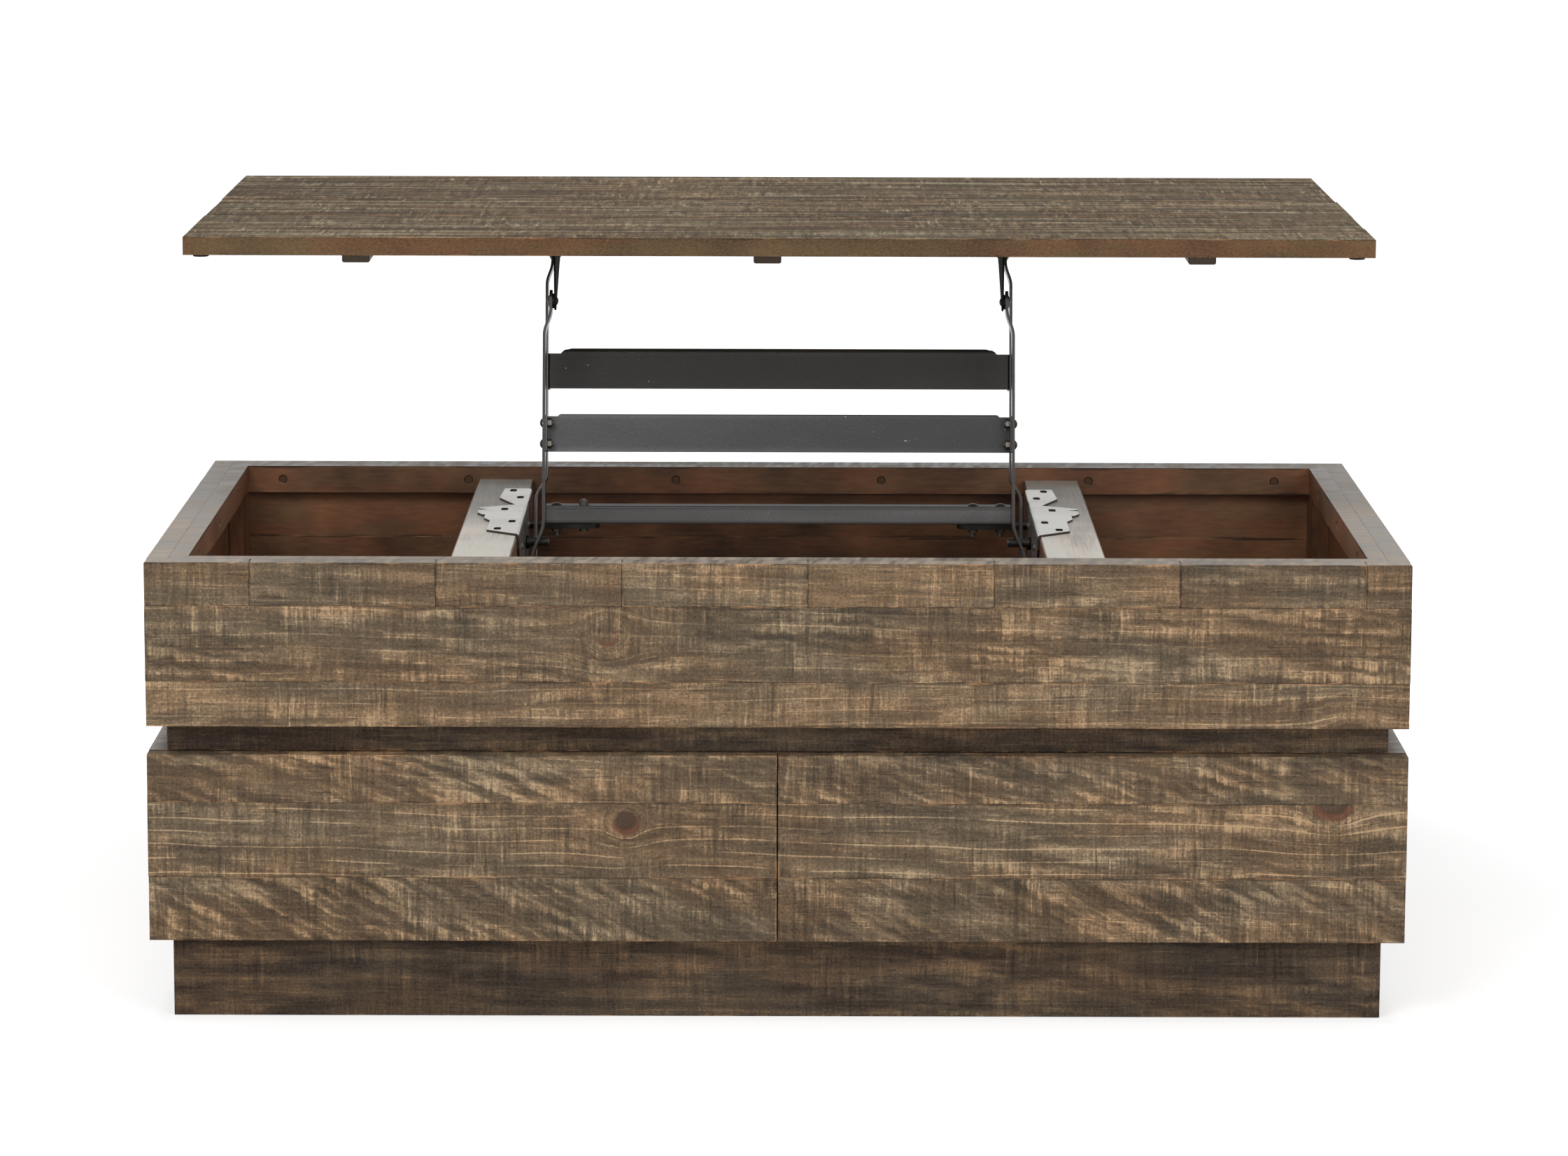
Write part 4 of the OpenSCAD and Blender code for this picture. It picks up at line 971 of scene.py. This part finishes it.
class TABLE_OT_lower_case(Maker, bpy.types.Operator):
    """Makes the lower case that holds the drawers"""

    bl_idname = "table.lower_case"
    bl_label = "Lower case"

    def execute(self, context):
        cuts = ((-0.32, 0.9, 0.3), (-0.06, 0.7, 0.9), (-0.48, 0.9, 0.3))
        tones = (0.0, 0.02, -0.03)
        for side, face, inner, seed in (("left", LEFT, RIGHT, 51), ("right", RIGHT, LEFT, 55)):
            boards = Boards("Sawn face", "Dark base", "End grain", "Rim")
            node = "lower_side_" + side
            # The top ledge takes the Rim finish, whose light grey is partly painted reflection of
            # the white surroundings
            wall(boards, node, LOWER_ROWS, "y", face, range(seed, seed + 3), cuts, tones,
                 {inner: 1, FRONT: 2, BACK: 2, TOP: 3}, ends=(0, 0))
            boards.make(node + "_boards", "case", "face_wood", node)
        boards = Boards("Sawn face", "Dark base", "End grain")
        wall(boards, "lower_back", LOWER_ROWS, "x", BACK, (61, 62, 63), cuts, tones,
             {FRONT: 1, LEFT: 2, RIGHT: 2})
        boards.make("lower_back_boards", "case", "face_wood", "lower_back")
        for node, slot, look, seed in (
            ("lower_bottom", "plinth_wood", "Dark base", 65),
            ("lower_top", "plinth_wood", "Dark base", 67),
            ("drawer_divider", "drawer_wood", "Drawer box", 69),
            ("recess_boards", "plinth_wood", "Dark base", 71),
        ):
            plain_boards(node + "_board", node, "case", slot, look, None, seed,
                         cut=(-0.03, 0.7, 0.3), tone=-0.04)
        return {"FINISHED"}


class TABLE_OT_upper_box(Maker, bpy.types.Operator):
    """Makes the upper box: its sawn walls, its short boards along the front and its floor"""

    bl_idname = "table.upper_box"
    bl_label = "Upper box"

    def execute(self, context):
        cuts = ((-0.05, 0.6, 0.4), (-0.07, 0.8, 0.5), (0.06, 0.65, 0.6))
        tones = (0.02, 0.0, 0.06)
        # The walls' top faces take the Rim finish, whose light grey is partly painted reflection
        skins = {BACK: 1, TOP: 2, LEFT: 3, RIGHT: 3}
        looks = ("Sawn face", "Inside", "Rim", "End grain")
        front = Boards(*looks)
        low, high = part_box("upper_front")
        joints = [FIRST_JOINT + JOINT_PITCH * i for i in range(JOINTS)]
        starts, stops = [low.x + ROW_SHORT[0], *joints], [*joints, high.x - ROW_SHORT[0]]
        bottom = rows_down(high.z, low.z, UPPER_ROWS)[0][0]
        for k, (x0, x1) in enumerate(zip(starts, stops)):
            front.board((x0, low.y, bottom), (x1, high.y, high.z), seed=11 + k, cut=cuts[0],
                        tone=tones[0] + 0.05 * math.sin(5.0 * k), skins=skins, end=JOINT_EASE)
        wall(front, "upper_front", UPPER_ROWS, "x", FRONT, (20, 21, 22), cuts, tones, skins,
             first=1)
        front.make("upper_front_boards", "case", "face_wood", "upper_front")
        back = Boards(*looks)
        wall(back, "upper_back", BACK_ROWS, "x", BACK, (24, 25, 26), cuts, tones,
             {FRONT: 1, TOP: 2, LEFT: 3, RIGHT: 3})
        back.make("upper_back_boards", "case", "face_wood", "upper_back")
        for side, face, inner, seed in (("left", LEFT, RIGHT, 28), ("right", RIGHT, LEFT, 32)):
            boards = Boards(*looks)
            node = "upper_side_" + side
            wall(boards, node, UPPER_ROWS, "y", face, range(seed, seed + 3), cuts, tones,
                 {inner: 1, TOP: 2, FRONT: 3, BACK: 3}, ends=(0, 0))
            boards.make(node + "_boards", "case", "face_wood", node)
        for name, node, along, seed in (
            ("storage_floor_board", "storage_floor", "x", 36),
            ("corner_batten_boards", "corner_battens", "z", 38),
        ):
            plain_boards(name, node, "case", "inner_wood", "Inside", along, seed)
        # The tops of the liners take the Rim finish and the tops of the rails the Rail finish:
        # their light greys are painted reflection of the white surroundings, wholly on the rails
        # and partly on the liners; their other faces take the inside stain
        for node, kind, top, along, width, seed in (
            ("rim_liner_front", "_strip", "Rim", "x", 0.0005, 96),
            ("rim_liner_back", "_strip", "Rim", "x", 0.0005, 95),
            ("rim_liner_sides", "_strip", "Rim", "y", 0.0005, 96),
            ("lift_rail_left", "_board", "Rail", "y", 0.0007, 91),
            ("lift_rail_right", "_board", "Rail", "y", 0.0007, 94),
        ):
            boards = Boards("Inside", top)
            boards.solid(ease(taken_over(node), width), along, seed, skins={TOP: 1})
            boards.make(node + kind, "case", "inner_wood", node)
        return {"FINISHED"}


class TABLE_OT_drawers(Maker, bpy.types.Operator):
    """Makes the two drawers with their sawn fronts, plain boxes and slides"""

    bl_idname = "table.drawers"
    bl_label = "Drawers and slides"

    def execute(self, context):
        cuts = ((-0.32, 0.82, 0.3), (-0.08, 0.85, 1.0), (-0.48, 0.9, 0.3))
        tones = (0.0, 0.01, -0.02)
        for side, shift, ends in (("left", 0, (1, 0)), ("right", 3, (0, 1))):
            body, front = "drawer_" + side, "drawer_front_" + side
            boards = Boards("Sawn face", "Drawer box", "End grain")
            wall(boards, front, DRAWER_ROWS, "x", FRONT, (100 + shift, 101, 102 + shift), cuts,
                 tones, {BACK: 1, LEFT: 2, RIGHT: 2}, ends=ends)
            boards.make(front + "_boards", body, "face_wood", front)
            boards = Boards("Drawer box")
            boards.solid(ease(taken_over("drawer_walls_" + side), 0.0008), "x", 111 + shift)
            boards.make("drawer_box_" + side, body, "drawer_wood", "drawer_walls_" + side)
            bottom = "drawer_bottom_" + side
            plain_boards(bottom + "_panel", bottom, body, "drawer_wood", "Drawer box", "x",
                         117 + shift, round_to=0.0003)
            inner, middle = "slide_inner_" + side, "slide_middle_" + side
            steel(inner + "_rail", body, "zinc", ("Zinc",), inner)
            steel(middle + "_rail", middle, "zinc", ("Zinc",), middle)
        steel("slide_outer_rails", "case", "zinc", ("Zinc",), "slide_outer")
        return {"FINISHED"}


class TABLE_OT_lid(Maker, bpy.types.Operator):
    """Makes the lid of six boards, with the channels, screws and bumpers under it"""

    bl_idname = "table.lid"
    bl_label = "Lid"

    def execute(self, context):
        low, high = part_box("lid_top")
        lid = Boards("Sawn lid", "Lid edge", "End grain", "Dark base")
        skins = {FRONT: 1, BACK: 1, LEFT: 2, RIGHT: 2, UNDER: 3}
        y = low.y
        for k, width in enumerate(LID_BOARDS):
            start, y = y, min(high.y, y + width)
            lid.board((low.x + LID_SHORT_LEFT[k], start, low.z),
                      (high.x - LID_SHORT_RIGHT[k], y, high.z - LID_LOW[k]), seed=130 + k,
                      cut=(0.04 * math.sin(3.0 * k), 0.25, 0.8),
                      tone=0.05 * math.sin(2.0 + 4.0 * k), skins=skins)
        lid.make("lid_boards", "lid", "lid_wood", "lid_top")
        # The channels and their end plates take the lightened channel paint, painted light for
        # their shaded place under the lid
        steel("lid_channel_bars", "lid", "black_steel", ("Channel paint",), "lid_channels")
        ends = Boards("Channel paint")
        for k, (low, high) in enumerate(loose_boxes("lid_channels")):
            for y in (low[1] + END_BACK, high[1] - END_BACK - END_PLATE):
                ends.board((low[0] + END_INSET, y, low[2] + END_INSET),
                           (high[0] - END_INSET, y + END_PLATE, high[2] - END_DROP), "x",
                           seed=140 + k, round_to=0.0002)
        ends.make("lid_channel_ends", "lid", "black_steel", "lid_channels")
        steel("channel_screw_heads", "lid", "zinc", ("Black paint",), "channel_screws",
              width=0.0001)
        steel("lid_bumper_pads", "lid", "rubber", ("Rubber",), "lid_bumpers", width=0.0004)
        return {"FINISHED"}


class TABLE_OT_lift(Maker, bpy.types.Operator):
    """Makes the steel lift: brackets, arms and bars, with their pins and bolts"""

    bl_idname = "table.lift"
    bl_label = "Lift"

    def execute(self, context):
        black, arm = ("Black paint", "Rubbed paint"), ("Arm paint", "Rubbed paint")
        matt = ("Matt paint", "Black paint")
        # The brackets' finishes are lit and shaded copies of one steel: the bright plate on top,
        # and the plate's steel at half its shade on the hanging sides and black paint on the
        # tongue, both painted shade
        bracket = ("Bare plate", "Burnt edge", "Bracket side", "Black paint")
        for side in ("left", "right"):
            node = "base_bracket_" + side
            steel(node + "_plate", "case", "grey_steel", bracket, node, pick=bracket_finish)
            for kind, body, look in (
                ("front_arm_", "front_arms", arm), ("rear_arm_", "rear_arms", arm),
                ("lid_bracket_", "lid", matt),
            ):
                steel(kind + side + "_strap", body, "black_steel", look, kind + side)
        for node, body, look in (
            ("base_bar", "case", ("Base bar paint", "Grey edge")),
            ("front_crossbar", "front_arms", ("Front bar paint", "Grey edge")),
            ("rear_crossbar", "rear_arms", ("Rear bar paint", "Rubbed paint")),
            ("crossbar_bolts", "front_arms", black),
            ("crossbar_rivets", "rear_arms", black), ("stop_pins", "front_arms", black),
        ):
            steel(node + "_steel", body, "black_steel", look, node)
        for node, body, look in (
            ("base_bar_bolts", "case", "Old zinc"), ("base_bar_nuts", "case", "Old zinc"),
            ("base_pivot_pins", "case", "Zinc"), ("bracket_screws", "case", "Old zinc"),
            ("liner_screws", "case", "Brass"), ("crossbar_nuts", "front_arms", "Old zinc"),
            ("lid_bracket_screws", "lid", "Black paint"), ("lid_pivot_pins", "lid", "Black paint"),
        ):
            steel(node + "_plated", body, "zinc", (look,), node, width=0.00015)
        return {"FINISHED"}


class TABLE_OT_stage(Maker, bpy.types.Operator):
    """Makes the white studio floor, the soft lamps, the surroundings and the camera"""

    bl_idname = "table.stage"
    bl_label = "Studio"

    def execute(self, context):
        reach = context.scene.table_sizes.floor_reach
        mesh = bpy.data.meshes.new("studio_floor")
        corners = ((-1, -1), (1, -1), (1, 1), (-1, 1))
        corners = [(x * reach, y * reach, -FLOOR_DROP) for x, y in corners]
        mesh.from_pydata(corners, [], [(0, 1, 2, 3)])
        floor = self.place("studio_floor", mesh)
        material, g, shader = new_material("Studio floor", Roughness=1.0, **{
            "Specular IOR Level": 0.0, "Base Color": (0.7, 0.7, 0.7),
            "Emission Color": (1.0, 1.0, 1.0),
        })
        paler = g.smooth(g.length(g.place()), 0.85, 1.6, 0.61, 0.98)
        g.feed(shader["Emission Strength"], g.product(in_view(g), paler))
        mesh.materials.append(material)
        self.light()
        self.aim()
        return {"FINISHED"}

    def place(self, name, data):
        """Puts a new object into the scene."""
        made = bpy.data.objects.new(name, data)
        bpy.context.scene.collection.objects.link(made)
        return made

    def light(self):
        """Sets soft lamps round the table and white surroundings."""
        world = bpy.data.worlds.new("Studio")
        world.use_nodes = True
        world.node_tree.nodes.clear()
        g = Graph(world.node_tree)
        sky = g.node("ShaderNodeBackground", {
            "Color": (1.0, 1.0, 1.0), "Strength": g.smooth(in_view(g), 0.0, 1.0, 0.36, 1.0),
        })
        g.node("ShaderNodeOutputWorld", {"Surface": sky.outputs[0]})
        bpy.context.scene.world = world
        for name, place, aim, wide, power in LAMPS:
            lamp = bpy.data.lights.new(name, "AREA")
            lamp.shape, lamp.size, lamp.size_y, lamp.energy = "RECTANGLE", wide, 0.7 * wide, power
            holder = self.place("lamp_" + name, lamp)
            holder.location = place
            turn = (Vector(aim) - Vector(place)).to_track_quat("-Z", "Y")
            holder.rotation_euler = turn.to_euler()
        bpy.context.scene.view_settings.view_transform = "Standard"

    def aim(self):
        """Sets the camera in front of the table and a little above it."""
        camera = bpy.data.cameras.new("camera")
        camera.sensor_width = CAMERA_SENSOR
        camera.lens = CAMERA_LENS
        camera.clip_end = 100.0
        holder = self.place("camera", camera)
        holder.location = CAMERA_PLACE
        holder.rotation_euler = CAMERA_TURN
        bpy.context.scene.camera = holder


class TABLE_PT_panel(bpy.types.Panel):
    """Lists the table's sizes, colours and pieces"""

    bl_label = "Coffee table"
    bl_space_type = "VIEW_3D"
    bl_region_type = "UI"
    bl_category = "Coffee Table"

    def draw(self, context):
        column = self.layout.column()
        for group in (context.scene.table_sizes, context.scene.table_colours):
            for key in group.bl_rna.properties.keys():
                if key not in ("rna_type", "name"):
                    column.prop(group, key)
        for maker in MAKERS:
            column.operator(maker.bl_idname)


MAKERS = (
    TABLE_OT_stage, TABLE_OT_plinth, TABLE_OT_lower_case, TABLE_OT_upper_box,
    TABLE_OT_drawers, TABLE_OT_lid, TABLE_OT_lift,
)
CLASSES = (TableSizes, TableColours, *MAKERS, TABLE_PT_panel)


def register():
    for cls in CLASSES:
        bpy.utils.register_class(cls)
    bpy.types.Scene.table_sizes = PointerProperty(type=TableSizes)
    bpy.types.Scene.table_colours = PointerProperty(type=TableColours)


def unregister():
    del bpy.types.Scene.table_colours
    del bpy.types.Scene.table_sizes
    for cls in reversed(CLASSES):
        bpy.utils.unregister_class(cls)


def main():
    register()
    bpy.ops.table.stage()
    bpy.ops.table.plinth()
    bpy.ops.table.lower_case()
    bpy.ops.table.upper_box()
    bpy.ops.table.drawers()
    bpy.ops.table.lid()
    bpy.ops.table.lift()


if __name__ == "__main__":
    main()
